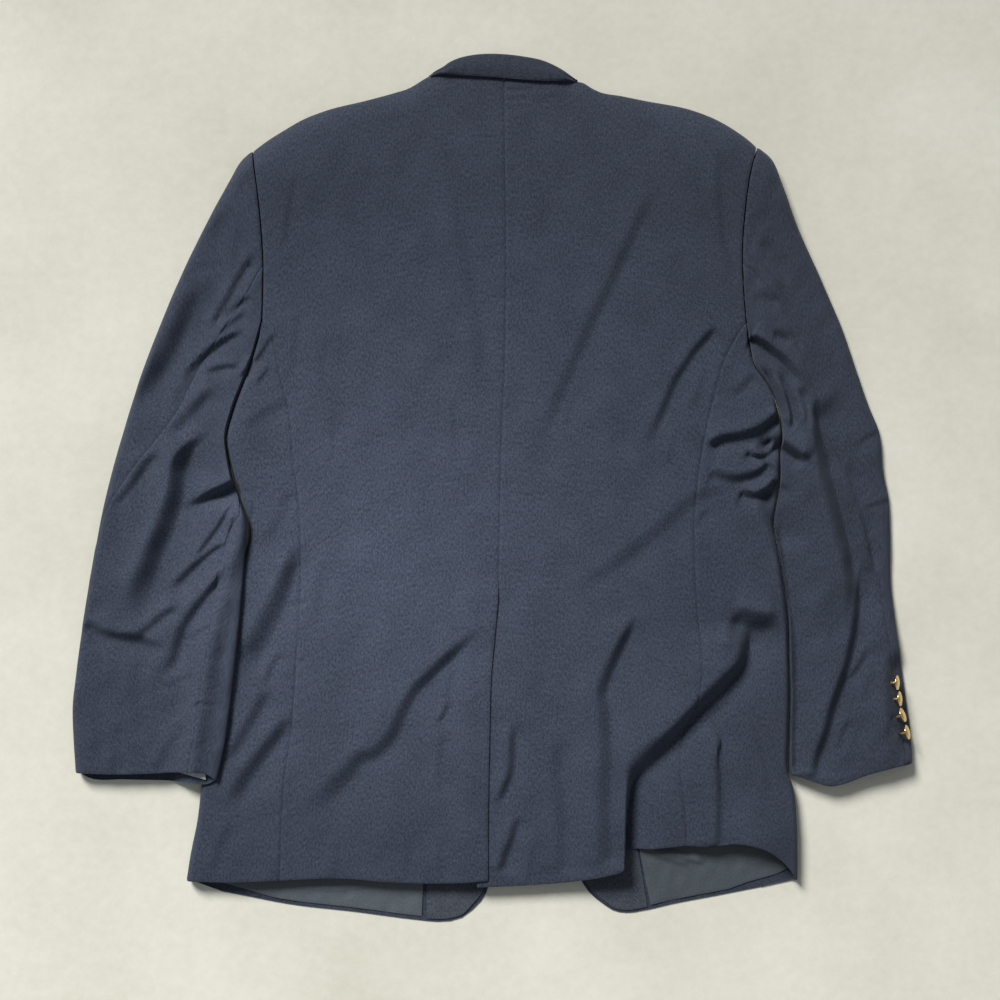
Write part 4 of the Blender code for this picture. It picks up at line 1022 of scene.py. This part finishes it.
def cloth_material(finish: ClothFinish) -> bpy.types.Material:
    """A woven cloth whose yarns run down the piece.

    Args:
        finish: Its colours and surface.

    Returns:
        The material, which reads the piece's own flat coordinates in metres.
    """
    nodes = Nodes(finish.name)
    stretch, turn, shine = finish.weave.value
    place = nodes.add("UVMap", {"uv_map": "cut"})
    yarns = nodes.add("Mapping", Vector=place, Scale=(1.0, stretch, 1.0))
    melange = nodes.noise(yarns, 560.0, 3.0, 0.7)
    broad = nodes.noise(place, 26.0, 4.0, 0.55)
    blend = nodes.add("Mix", {"data_type": "FLOAT"}, Factor=0.16, A=melange, B=broad)
    colour = nodes.ramp(blend, (0.36, finish.dark), (0.64, finish.light))
    # painted light: worsted pieces get the painted falloff, bright at the middle of the back
    if finish.weave is Weave.WORSTED:
        colour = painted_light_falloff(nodes, colour)
    slant = nodes.add("Mapping", Vector=place, Rotation=(0.0, 0.0, math.radians(turn)))
    twill = nodes.add("TexWave", out="Fac", Vector=slant, Scale=230.0, Distortion=1.2, Detail=2.0)
    yarn_height = nodes.add("Math", {"operation": "ADD"}, Value=twill)
    nodes.tree.links.new(melange, yarn_height.node.inputs[1])
    bump = nodes.add("Bump", Strength=finish.relief, Distance=0.0003, Height=yarn_height)
    nodes.feed(
        nodes.shader, Base_Color=colour, Roughness=finish.roughness, Specular_IOR_Level=shine,
        Sheen_Weight=finish.sheen, Sheen_Roughness=0.5, Sheen_Tint=(0.75, 0.82, 1.0, 1.0),
        Normal=bump,
    )
    return nodes.material


def metal_material(finish: MetalFinish) -> bpy.types.Material:
    """Polished metal with faint wear.

    Args:
        finish: Its colour and surface.

    Returns:
        The material, in the piece's object coordinates.
    """
    nodes = Nodes(finish.name)
    wear = nodes.noise(nodes.add("TexCoord", out="Object"), 900.0, 3.0)
    roughness = nodes.add(
        "MapRange", Value=wear, To_Min=finish.roughness * 0.7, To_Max=finish.roughness * 1.5,
    )
    nodes.feed(nodes.shader, Base_Color=(*finish.colour, 1.0), Metallic=1.0, Roughness=roughness)
    return nodes.material


def floor_material() -> bpy.types.Material:
    """Pale plaster with faint mottling, and painted light: a little brighter towards the bottom left."""
    nodes = Nodes("pale_plaster")
    place = nodes.add("TexCoord", out="Object")
    broad = nodes.noise(place, 4.2, 5.0, 0.6)
    small = nodes.noise(place, 90.0, 4.0, 0.7)
    blend = nodes.add("Mix", {"data_type": "FLOAT"}, Factor=0.3, A=broad, B=small)
    colour = nodes.ramp(blend, (0.3, (0.60, 0.585, 0.50)), (0.7, (0.76, 0.755, 0.68)))
    # painted light: the plaster colour is scaled up towards the bottom left
    painted_light_slope = nodes.add("VectorMath", {"operation": "DOT_PRODUCT"}, out="Value", Vector=place)
    painted_light_slope.node.inputs[1].default_value = (-0.15, -0.17, 0.0)
    painted_light_factor = nodes.add("Math", {"operation": "ADD"}, Value=painted_light_slope)
    painted_light_factor.node.inputs[1].default_value = 1.08
    painted_lit_colour = nodes.add("VectorMath", {"operation": "SCALE"}, Vector=colour, Scale=painted_light_factor)
    bump = nodes.add("Bump", Strength=0.15, Distance=0.001, Height=small)
    nodes.feed(nodes.shader, Base_Color=painted_lit_colour, Roughness=0.8, Normal=bump)
    return nodes.material


def grid_object(name: str, points: np.ndarray) -> bpy.types.Object:
    """A grid mesh laid through points.

    Args:
        name: Its name.
        points: The points in chart millimetres, by column and row.

    Returns:
        The object, at the origin.
    """
    columns, rows = points.shape[:2]
    bpy.ops.object.select_all(action="DESELECT")
    bpy.ops.mesh.primitive_grid_add(x_subdivisions=columns - 1, y_subdivisions=rows - 1, size=1.0)
    item = bpy.context.object
    item.name = name
    item.data.name = name
    world = (points - np.array((*MIDDLE, 0.0))) * MM
    item.data.vertices.foreach_set("co", np.swapaxes(world, 0, 1).astype(np.float32).ravel())
    item.data.update()
    return item


def lay_cut(item: bpy.types.Object, cloth: Cloth) -> None:
    """Gives a grid mesh its flat coordinates in metres, as its UV map."""
    across, down = cloth.distances(0)[0], cloth.distances(1)[0]
    flat = np.stack([across - across.mean(axis=0, keepdims=True), down], axis=-1) * MM
    flat = np.swapaxes(flat, 0, 1).reshape(-1, 2)
    corners = np.empty(len(item.data.loops), int)
    item.data.loops.foreach_get("vertex_index", corners)
    layer = item.data.uv_layers[0]
    layer.name = "cut"
    layer.data.foreach_set("uv", flat[corners].astype(np.float32).ravel())


@dataclass
class Tailor:
    materials: dict[str, bpy.types.Material] = field(default_factory=dict)
    made: dict[str, bpy.types.Object] = field(default_factory=dict)

    def material(self, finish: ClothFinish) -> bpy.types.Material:
        """The material for a finish, made once."""
        if finish.name not in self.materials:
            self.materials[finish.name] = cloth_material(finish)
        return self.materials[finish.name]

    def sew(self, name: str, cloth: Cloth, finish: ClothFinish,
            wall: float = WALL, also: Sequence[str] = ()) -> bpy.types.Object:
        """Makes one piece of cloth as a thin shell.

        Args:
            name: The solid that it stands for; the piece adds "_cloth".
            cloth: Its outer face.
            finish: Its material.
            wall: Its thickness in millimetres.
            also: Further solids that it stands for.

        Returns:
            The finished piece.
        """
        i, j = (n // 2 for n in cloth.points.shape[:2])
        side = np.cross(
            cloth.points[i + 1, j] - cloth.points[i, j], cloth.points[i, j + 1] - cloth.points[i, j]
        )
        if side @ cloth.square[i, j] < 0:
            cloth = Cloth(cloth.points[::-1], cloth.square[::-1])
        item = grid_object(f"{name}_cloth", cloth.points)
        lay_cut(item, cloth)
        item.data.materials.append(self.material(finish))
        bpy.ops.object.modifier_add(type="SOLIDIFY")
        solidify = item.modifiers[-1]
        solidify.thickness = wall * MM
        solidify.offset = -1.0
        bpy.ops.object.modifier_apply(modifier=solidify.name)
        bpy.ops.object.shade_smooth_by_angle(angle=math.radians(50.0))
        width, length, area = cloth.cut_size()
        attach(item, "root")
        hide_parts(name, *also)
        self.made[name] = item
        faces = len(item.data.polygons)
        LOG.info("%s: %d faces, cut %.0f x %.0f mm", name, faces, width / MM, length / MM)
        return item


@dataclass
class BodyHalf:
    """The back, side, front and lapel of one half of the body."""

    away: int
    centre: tuple[Rows, Rows]
    neck: Rows
    shoulder: Rows
    armhole: Rows
    seam: Rows
    edge: Rows
    front_seam: Rows
    back_hem: Rows
    side_hem: Rows
    front_edge: Rows
    front_hem: Rows
    lapel: Rows
    height: Height
    lapel_height: float = 1.5

    def back(self) -> Cloth:
        """The back panel."""
        top = np.concatenate([fine(self.neck), fine(self.shoulder)[1:]])
        outer = np.concatenate([fine(self.armhole), fine(self.seam)[1:]])
        middle = np.concatenate([fine(self.centre[0]), fine(self.centre[1])[1:]])
        a = shares_with_edges(245, GRID)
        b = shares_with_edges(800, GRID)
        plan = coons(
            resampled(top, a), resampled(fine(self.back_hem), a), resampled(middle, b),
            resampled(outer, b), a, b,
        )
        turn, out = rolled(plan, self.shoulder, self.away)
        points = lifted(plan + RELIEF.shift(plan), dropped(self.height(plan), SHOULDER_EDGE, turn))
        cloth = Cloth(points, turned(facing_up(self.height, plan), out, turn)).trimmed(SEAM_GAP)
        cloth = cloth.dipped("start", CENTRE_STITCHES).dipped("end", SIDE_BACK_STITCHES)
        cloth = cloth.dipped("top", NECK_EDGE).dipped("bottom", PRESSED_EDGE)
        return cloth.stitched("bottom", HEM_DEPTH, HEM_MARK, 2.5)

    def side(self) -> Cloth:
        """The side panel, from the back seam over the edge to the front seam beneath."""
        b = shares_with_edges(560, GRID)
        seam, edge = resampled(fine(self.seam), b), resampled(fine(self.edge), b)
        front_seam, hem = resampled(fine(self.front_seam), b), through(self.side_hem)
        width = np.linalg.norm(edge - seam, axis=1)[None, :]
        tuck = np.linalg.norm(front_seam - edge, axis=1)[None, :]
        reach = np.minimum(SIDE_REACH, 0.8 * np.minimum(width, tuck))
        turns = np.linspace(0, math.pi / 2, 9)[:, None]
        arc = reach * (1 - np.cos(turns))
        flats = shares_with_edges(80, GRID)[:-1, None]
        from_edge = np.concatenate([width + (reach - width) * flats, arc[::-1]])
        turn = np.concatenate([np.full_like(flats, math.pi / 2), turns[::-1]])
        t = (1 - from_edge / width)[..., None]
        chord = seam[-1:] * (1 - t) + edge[-1:] * t
        plan = seam[None] * (1 - t) + edge[None] * t + (hem(t[..., 0]) - chord) * b[None, :, None] ** 3
        out = level_out(np.gradient(edge, axis=0), -self.away)[None]
        shift = RELIEF.shift(plan) * np.sin(turn)[..., None]
        upper = lifted(plan + shift, back_height(plan) / 2 * (1 + np.sin(turn)))
        square = turned(facing_up(back_height, plan), out, turn)
        flats = np.linspace(0, 1, 7)[1:, None]
        from_edge = np.concatenate([arc[1:], reach + (tuck - reach) * flats])
        turn = np.concatenate([turns[1:], np.full_like(flats, math.pi / 2)])
        t = (from_edge / tuck)[..., None]
        beneath = edge[None] * (1 - t) + front_seam[None] * t
        lower = lifted(beneath, back_height(edge[None]) / 2 * (1 - np.sin(turn)))
        squares = np.concatenate([square, turned(-UP, out, turn)])
        cloth = Cloth(np.concatenate([upper, lower]), squares).trimmed(SEAM_GAP)
        cloth = cloth.dipped("start", SIDE_STITCHES).dipped("bottom", PRESSED_EDGE)
        return cloth.stitched("bottom", HEM_DEPTH, HEM_MARK, 2.5)

    def front(self) -> Cloth:
        """The front panel, whose lower face lies on the floor and over the folded lapel."""
        a, b = shares_with_edges(200, FLAT_GRID), shares_with_edges(820, FLAT_GRID)
        outer = np.concatenate([fine(self.armhole), fine(self.front_seam)])
        plan = coons(
            resampled(fine(self.shoulder), a), resampled(fine(self.front_hem), a),
            resampled(fine(self.front_edge), b), resampled(outer, b), a, b,
        )
        lapel = across_at(self.lapel)
        beyond = (plan[..., 0] - lapel(plan[..., 1])) * self.away
        level = 2.1 * ease(1 - (beyond - 30) / 16) * ease((plan[..., 1] + 90) / 20)
        turn, out = rolled(plan, self.shoulder, self.away)
        level = dropped(level, SHOULDER_EDGE - 0.5, turn)
        return Cloth(lifted(plan, level), turned(-UP, out, turn)).trimmed(FLAT_GAP)

    def lapel_piece(self) -> Cloth:
        """The lapel, folded back flat beneath the front."""
        edge = fine(self.lapel)
        fold = fine(tuple((x, y) for x, y in self.front_edge if y < 390 and y > -40)[::-1])
        edge, fold = resampled(edge, np.linspace(0, 1, 90)), resampled(fold, np.linspace(0, 1, 90))
        t = np.linspace(0.01, 0.99, 30)[:, None, None]
        plan = fold[None] * (1 - t) + edge[None] * t
        square = np.broadcast_to(UP, plan.shape[:2] + (3,))
        return Cloth(lifted(plan, np.full(plan.shape[:2], self.lapel_height)), square).trimmed(FLAT_GAP)

    def build(self, tailor: Tailor) -> None:
        """Makes the four pieces."""
        word = side_word(self.away)
        tailor.sew(f"back_{word}", self.back(), WOOL)
        tailor.sew(f"side_{word}", self.side(), WOOL)
        tailor.sew(f"front_{word}", self.front(), WOOL, also=[f"front_top_{word}"])
        tailor.sew(f"lapel_{word}", self.lapel_piece(), WOOL)


@dataclass
class Sleeve:
    """One two-piece sleeve, laid flat as a low tube."""

    away: int
    armhole: Rows
    cuff: Rows
    lower_cuff: Rows
    outer: Rows
    inner: Rows
    seams: Sequence[SeamPlace]
    above: Height
    beneath: Height
    inner_reach: float = SLEEVE_REACH
    arc: int = 3
    flat: int = 8

    @property
    def whole(self) -> int:
        """Number of stations round the sleeve."""
        return 4 * self.arc + 2 * self.flat

    def station(self, place: np.ndarray) -> np.ndarray:
        """Station for a share of the way round."""
        stops = [0, 0.09, 0.91, 1, 1.09, 1.91, 2]
        arc, flat = self.arc, self.flat
        marks = [0, arc, arc + flat, 2 * arc + flat, 3 * arc + flat, 3 * arc + 2 * flat, self.whole]
        return np.interp(np.mod(place, 2), stops, marks) + self.whole * np.floor(place / 2)

    def cloth(self, stations: np.ndarray, down: np.ndarray) -> Cloth:
        """The outer face at stations round the sleeve.

        Args:
            stations: Stations, by column and row.
            down: Share of the way down of each row.

        Returns:
            The cloth there.
        """
        arc, flat = self.arc, self.flat
        stations = np.mod(stations, self.whole)
        under = stations > self.whole / 2
        r = np.where(under, self.whole - stations, stations)
        outer, inner = resampled(fine(self.outer), down), resampled(fine(self.inner), down)
        down = down[None, :]
        width = np.linalg.norm(inner - outer, axis=1)[None, :]
        first = (mixed(SHOULDER_REACH, SLEEVE_REACH, ease(down * 6)) + 0 * r) / width
        last = 1 - mixed(TIGHT_REACH, self.inner_reach, ease((down - 0.3) / 0.2)) / width
        turn_out = np.clip(r / arc, 0, 1) * math.pi / 2
        turn_in = np.clip((2 * arc + flat - r) / arc, 0, 1) * math.pi / 2
        middle = 1 - (1 - np.clip((r - arc) / flat, 0, 1)) ** 1.25
        share = mixed(first, last, middle)
        share = np.where(r < arc, first * (1 - np.cos(turn_out)), share)
        share = np.where(r > arc + flat, 1 - (1 - last) * (1 - np.cos(turn_in)), share)
        head, cuff, lower = through(self.armhole), through(self.cuff), through(self.lower_cuff)
        s, d = share[..., None], down[..., None]
        plan = (1 - s) * outer[None] + s * inner[None]
        hem = np.where(under[..., None], lower(share), cuff(share))
        plan = plan + (1 - d) * (head(share) - (1 - s) * outer[0] - s * inner[0])
        plan = plan + d * (hem - (1 - s) * outer[-1] - s * inner[-1])
        top, low = self.above(plan), self.beneath(plan)
        rim = mixed(np.minimum(SHOULDER_EDGE, top / 2), (top + low) / 2, ease(down * 6))
        rim = np.where(r > arc + flat / 2, (top + low) / 2, rim)
        turn = np.minimum(turn_out, turn_in)
        level = rim + (np.where(under, low, top) - rim) * np.sin(turn)
        outward = level_out(np.gradient(outer, axis=0), -self.away)[None]
        inward = level_out(np.gradient(inner, axis=0), self.away)[None]
        out = np.where((r < arc + flat / 2)[..., None], outward, inward)
        face = np.where(under[..., None], -facing_up(self.beneath, plan), facing_up(self.above, plan))
        shift = RELIEF.shift(plan) * (np.sin(turn) * ~under)[..., None]
        return Cloth(lifted(plan + shift, level), turned(face, out, turn))

    def build(self, tailor: Tailor) -> None:
        """Makes the top sleeve and the under sleeve."""
        down = shares_with_edges(640, GRID)
        knots = [place.down for place in self.seams]
        hindarm = self.station(through([place.hindarm for place in self.seams], knots)(down))
        forearm = self.station(through([place.forearm for place in self.seams], knots)(down))
        for part, first, last, width in (
            ("under", hindarm, forearm, 150), ("top", forearm, hindarm + self.whole, 200),
        ):
            share = shares_with_edges(width, SLEEVE_GRID)[:, None]
            cloth = self.cloth(mixed(first, last, share), down).trimmed(SEAM_GAP)
            cloth = cloth.dipped("start end", SLEEVE_STITCHES).dipped("top", ARMHOLE_STITCHES)
            cloth = cloth.dipped("bottom", PRESSED_EDGE)
            tailor.sew(f"sleeve_{part}_{side_word(self.away)}", cloth, WOOL)


@dataclass
class Collar:
    """The collar: the fall on top, the fold, and the stand beneath it."""

    columns: int = 150
    rise: float = 4.4
    wall: float = 1.5
    roll: float = 3.2
    stand: float = 17.5
    stand_drop: float = 1.5

    def base(self, plan: np.ndarray) -> np.ndarray:
        """Height of the back beneath it, which turns down at both shoulders."""
        height = back_height(plan)
        for shoulder, away in ((SHOULDER_LEFT, -1), (SHOULDER_RIGHT, 1)):
            turn, _ = rolled(plan, shoulder, away)
            height = dropped(height, SHOULDER_EDGE, turn)
        return height

    def cloth(self) -> Cloth:
        """Its outer face."""
        share = np.linspace(0, 1, self.columns)
        fall, fold = resampled(fine(COLLAR_FALL_EDGE), share), resampled(fine(COLLAR_FOLD), share)
        width = np.linalg.norm(fold - fall, axis=1)
        back = unit(fall - fold)
        reach = np.minimum(self.roll, 0.4 * width)
        out = level_out(np.gradient(fold, axis=0), -1)
        rise = self.rise * (0.3 + 0.7 * ease(share / 0.1) * ease((1 - share) / 0.1))
        points, squares = [], []
        for step in np.linspace(1, 0, 16):
            plan = fold + back * (reach + (width - reach) * step)[:, None]
            bulge = 1.2 * math.sin(step * math.pi) - 0.6 * step**2 + 0.15 * ripple(plan, length=18)
            points.append(lifted(plan, self.base(plan) + rise + bulge))
            squares.append(np.broadcast_to(UP, (len(plan), 3)))
        for angle in range(75, -91, -15):
            turn = math.radians(angle)
            plan = fold + back * (reach * (1 - math.cos(turn)))[:, None]
            half = (rise + self.wall) / 2
            points.append(lifted(plan, self.base(plan) - self.wall + half * (1 + math.sin(turn))))
            squares.append(unit(out * math.cos(turn) + UP * math.sin(turn)))
        room = np.minimum(width * 0.8, self.stand)
        for step in np.linspace(0, 1, 8)[1:]:
            plan = fold + back * (reach + (room - reach) * step)[:, None]
            points.append(lifted(plan, self.base(plan) - self.wall - self.stand_drop * ease(step * 1.6)))
            squares.append(np.broadcast_to(-UP, (len(plan), 3)))
        return Cloth(np.stack(points), np.stack(squares)).trimmed(SEAM_GAP)

    def build(self, tailor: Tailor) -> None:
        """Makes the collar."""
        cloth = self.cloth().dipped("start", PRESSED_EDGE).stitched("start", 5, HEM_MARK)
        tailor.sew("collar", cloth, COLLAR_WOOL_SHADED, wall=self.wall)


@dataclass
class HemInside:
    """The facing and the lining inside a front, where they show below the back's hem."""

    away: int
    seam: Rows
    hem: Rows
    far: Rows
    edge: Rows
    lining: ClothFinish
    rows: int = 40
    height: float = WALL + LINING_WALL + 0.8

    def strip(self, top: np.ndarray, bottom: np.ndarray, start: np.ndarray) -> Cloth:
        """A strip of cloth between a top and a bottom line, with its first side along a third."""
        a, b = np.linspace(0, 1, len(top)), np.linspace(0, 1, self.rows)
        plan = coons(top, bottom, start, np.linspace(top[-1], bottom[-1], self.rows), a, b)
        level = self.height + 0.25 * ripple(plan, length=24) + LINING_RELIEF.rise(plan)
        square = np.broadcast_to(UP, plan.shape[:2] + (3,))
        return Cloth(lifted(plan, level), square).dipped("bottom start", LINING_EDGE)

    def build(self, tailor: Tailor) -> None:
        """Makes the two strips."""
        word = side_word(self.away)
        hem, shares = through(self.hem), np.linspace(0, 1, 400)
        at = shares[np.abs(hem(shares)[:, 0] - self.seam[-1][0]).argmin()]
        start = resampled(fine(self.edge), np.linspace(0, 1, self.rows))
        near = shares[np.abs(hem(shares)[:, 0] - self.edge[-1][0]).argmin()]
        first = np.concatenate([start[-1:], hem(np.linspace(near + 0.02, at - 0.01, 59)) + (0, 3.0)])
        first = resampled(first, np.linspace(0, 1, 60))
        second = np.concatenate([hem(np.linspace(at + 0.01, 0.8, 90)) + (0, 4.5), self.far])
        second = resampled(second, np.linspace(0, 1, 90))
        inner = np.array(self.seam[0], float)
        gap = np.array([0.6 * self.away, 0.0])
        facing = self.strip(np.linspace(start[0], inner, 60), first, start)
        side = np.linspace(inner + gap, second[0], self.rows)
        lining = self.strip(np.linspace(side[0], (second[-1][0], inner[1]), 90), second, side)
        tailor.sew(f"facing_{word}", facing, FACING_WOOL, wall=LINING_WALL)
        tailor.sew(f"lining_{word}", lining, self.lining, wall=LINING_WALL)


@dataclass
class CuffInside:
    """The lining inside the left cuff, where its lower layer shows."""

    columns: int = 90
    rows: int = 40
    height: float = WALL + LINING_WALL + 2.0

    def build(self, tailor: Tailor) -> None:
        """Makes the strip."""
        a, b = np.linspace(0, 1, self.columns), np.linspace(0, 1, self.rows)
        top = np.linspace(*CUFF_LINING_TOP, self.columns)
        hem = resampled(fine(CUFF_LINING_EDGE), a)
        sides = (np.linspace(top[k], hem[k], self.rows) for k in (0, -1))
        plan = coons(top, hem, *sides, a, b)
        cloth = Cloth(lifted(plan, over_body(plan) + self.height), facing_up(over_body, plan))
        tailor.sew("lining_cuff_left", cloth, CUFF_LINING, wall=LINING_WALL)


@dataclass
class Buttons:
    """The domed metal buttons along the right cuff."""

    size: float = 15.0
    around: int = 64

    def shank(self, place: Vector, out: Vector, trees: Sequence[BVHTree]) -> float:
        """How far a button's shank reaches back before it meets the cloth."""
        side = out.orthogonal().normalized()
        rim = [Matrix.Rotation(turn, 3, out) @ side * 1.5 for turn in np.linspace(0, 2 * np.pi, 13)]
        for length in np.arange(0.5, 16, 0.1):
            spots = [(place - out * length + offset - Vector((*MIDDLE, 0))) * MM for offset in rim]
            if min(tree.find_nearest(spot)[3] for spot in spots for tree in trees) < 0.3 * MM:
                return float(length)
        return 1.5

    def profile(self, foot: float) -> np.ndarray:
        """Half of a button's outline as radius and rise, from the shank's foot to the dome's top."""
        r = self.size / 2
        return np.array([
            (0.01, foot), (1.4, foot), (1.5, foot + 0.2), (1.5, -0.3), (1.8, 0.0), (r - 1.6, 0.1),
            (r - 0.5, 0.45), (r - 0.1, 0.85), (r, 1.25), (r - 0.1, 1.65), (r - 0.5, 1.95),
            (r - 0.9, 1.95), (r - 1.15, 1.75), (r - 1.4, 1.8), (r - 1.9, 2.15), (r * 0.6, 2.75),
            (r * 0.4, 3.1), (r * 0.2, 3.3), (0.01, 3.36),
        ])

    def build(self, tailor: Tailor) -> None:
        """Makes the four buttons."""
        metal = metal_material(BUTTON_METAL)
        trees = []
        for part in ("top", "under"):
            mesh = tailor.made[f"sleeve_{part}_right"].data
            corners = [vertex.co for vertex in mesh.vertices]
            trees.append(BVHTree.FromPolygons(corners, [tuple(f.vertices) for f in mesh.polygons]))
        for number, button in enumerate(CUFF_BUTTONS, start=1):
            facing, tilt = math.radians(button.facing), math.radians(button.tilt)
            out = Vector((math.cos(tilt) * math.cos(facing), math.cos(tilt) * math.sin(facing),
                          math.sin(tilt)))
            place = Vector((button.across, button.up, button.height)) - out * 1.1
            rows = self.profile(-self.shank(place, out, trees))
            angles = np.linspace(0, 2 * np.pi, self.around + 1)[:, None]
            ring = np.stack([
                rows[None, :, 0] * np.cos(angles), rows[None, :, 0] * np.sin(angles),
                np.broadcast_to(rows[None, :, 1], (len(angles), len(rows))),
            ], axis=-1)
            turn = np.array(out.to_track_quat("Z", "Y").to_matrix())
            item = grid_object(f"cuff_button_{number}_metal", ring @ turn.T + np.array(place))
            bpy.ops.object.mode_set(mode="EDIT")
            bpy.ops.mesh.select_all(action="SELECT")
            bpy.ops.mesh.remove_doubles(threshold=0.03 * MM)
            bpy.ops.mesh.normals_make_consistent(inside=False)
            bpy.ops.object.mode_set(mode="OBJECT")
            bpy.ops.object.shade_smooth_by_angle(angle=math.radians(40.0))
            item.data.materials.append(metal)
            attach(item, "root")
            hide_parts(f"cuff_button_{number}")


@dataclass
class Studio:
    """The floor, the soft lights and the camera straight above."""

    height: float = 2.0
    key: float = 3.7
    key_softness: float = 21.0
    key_from: tuple[float, float, float] = (*LIGHT_WAY, 0.8)
    key_colour: tuple[float, float, float] = (1.0, 0.985, 0.95)
    fill: float = 0.22
    fill_colour: tuple[float, float, float, float] = (0.93, 0.97, 1.0, 1.0)
    sensor: float = 36.0
    sharp_height: float = 0.012

    def floor(self) -> None:
        """Makes the floor."""
        bpy.ops.object.select_all(action="DESELECT")
        bpy.ops.mesh.primitive_plane_add(size=5.0, location=(0.0, 0.0, 0.0))
        floor = bpy.context.object
        floor.name = "floor"
        floor.data.materials.append(floor_material())

    def lights(self) -> None:
        """Makes the soft key light and the even light from all round."""
        data = bpy.data.lights.new("key", "SUN")
        data.energy = self.key
        data.angle = math.radians(self.key_softness)
        data.color = self.key_colour
        key = bpy.data.objects.new("key", data)
        key.location = self.key_from
        key.rotation_euler = (-Vector(self.key_from)).to_track_quat("-Z", "Y").to_euler()
        bpy.context.collection.objects.link(key)
        world = bpy.data.worlds.new("room")
        bpy.context.scene.world = world
        world.use_nodes = True
        ground = world.node_tree.nodes["Background"]
        ground.inputs["Color"].default_value = self.fill_colour
        ground.inputs["Strength"].default_value = self.fill

    def camera(self) -> None:
        """Makes the camera, as high above the garment as its frame needs."""
        data = bpy.data.cameras.new("above")
        data.sensor_width = self.sensor
        data.lens = self.sensor * (self.height - self.sharp_height)
        camera = bpy.data.objects.new("above", data)
        middle = (np.array(PHOTO_MIDDLE) - np.array(MIDDLE)) * MM
        camera.location = (middle[0], middle[1], self.height)
        bpy.context.collection.objects.link(camera)
        bpy.context.scene.camera = camera

    def build(self) -> None:
        """Makes the whole studio."""
        self.floor()
        self.lights()
        self.camera()
        bpy.context.scene.view_settings.view_transform = "Standard"


def main() -> None:
    """Builds the garment and the studio, in order."""
    logging.basicConfig(level=logging.INFO)
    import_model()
    Studio().build()
    tailor = Tailor()
    BodyHalf(
        away=-1, centre=(CENTRE_SEAM, VENT_OVER), neck=NECK_LEFT, shoulder=SHOULDER_LEFT,
        armhole=ARMHOLE_LEFT, seam=SIDE_BACK_SEAM_LEFT, edge=SIDE_EDGE_LEFT,
        front_seam=SIDE_FRONT_SEAM_LEFT, back_hem=BACK_HEM_LEFT, side_hem=SIDE_HEM_LEFT,
        front_edge=FRONT_EDGE_LEFT, front_hem=FRONT_HEM_LEFT, lapel=LAPEL_EDGE_LEFT,
        height=vent_height,
    ).build(tailor)
    BodyHalf(
        away=1, centre=(CENTRE_SEAM, VENT_UNDER), neck=NECK_RIGHT, shoulder=SHOULDER_RIGHT,
        armhole=ARMHOLE_RIGHT, seam=SIDE_BACK_SEAM_RIGHT, edge=SIDE_EDGE_RIGHT,
        front_seam=SIDE_FRONT_SEAM_RIGHT, back_hem=BACK_HEM_RIGHT, side_hem=SIDE_HEM_RIGHT,
        front_edge=FRONT_EDGE_RIGHT, front_hem=FRONT_HEM_RIGHT, lapel=LAPEL_EDGE_RIGHT,
        height=back_height,
    ).build(tailor)
    Collar().build(tailor)
    Sleeve(
        away=-1, armhole=tuple((x - SLEEVE_GAP, y) for x, y in ARMHOLE_LEFT), cuff=CUFF_LEFT,
        lower_cuff=CUFF_LOWER_LEFT, outer=SLEEVE_OUTER_LEFT, inner=SLEEVE_INNER_LEFT,
        seams=SLEEVE_SEAMS_LEFT, above=sleeve_height_left, beneath=over_body,
    ).build(tailor)
    Sleeve(
        away=1, armhole=tuple((x + SLEEVE_GAP, y) for x, y in ARMHOLE_RIGHT), cuff=CUFF_RIGHT,
        lower_cuff=CUFF_RIGHT, outer=SLEEVE_OUTER_RIGHT, inner=SLEEVE_INNER_RIGHT,
        seams=SLEEVE_SEAMS_RIGHT, above=sleeve_height_right, beneath=on_floor,
        inner_reach=TIGHT_REACH,
    ).build(tailor)
    HemInside(
        away=-1, seam=FACING_LEFT, hem=FRONT_HEM_LEFT, far=LINING_FAR_LEFT, edge=FACING_EDGE_LEFT,
        lining=LINING_LEFT,
    ).build(tailor)
    HemInside(
        away=1, seam=FACING_RIGHT, hem=FRONT_HEM_RIGHT, far=LINING_FAR_RIGHT,
        edge=FACING_EDGE_RIGHT, lining=LINING_RIGHT_SHADED,
    ).build(tailor)
    CuffInside().build(tailor)
    Buttons().build(tailor)


if __name__ == "__main__":
    main()
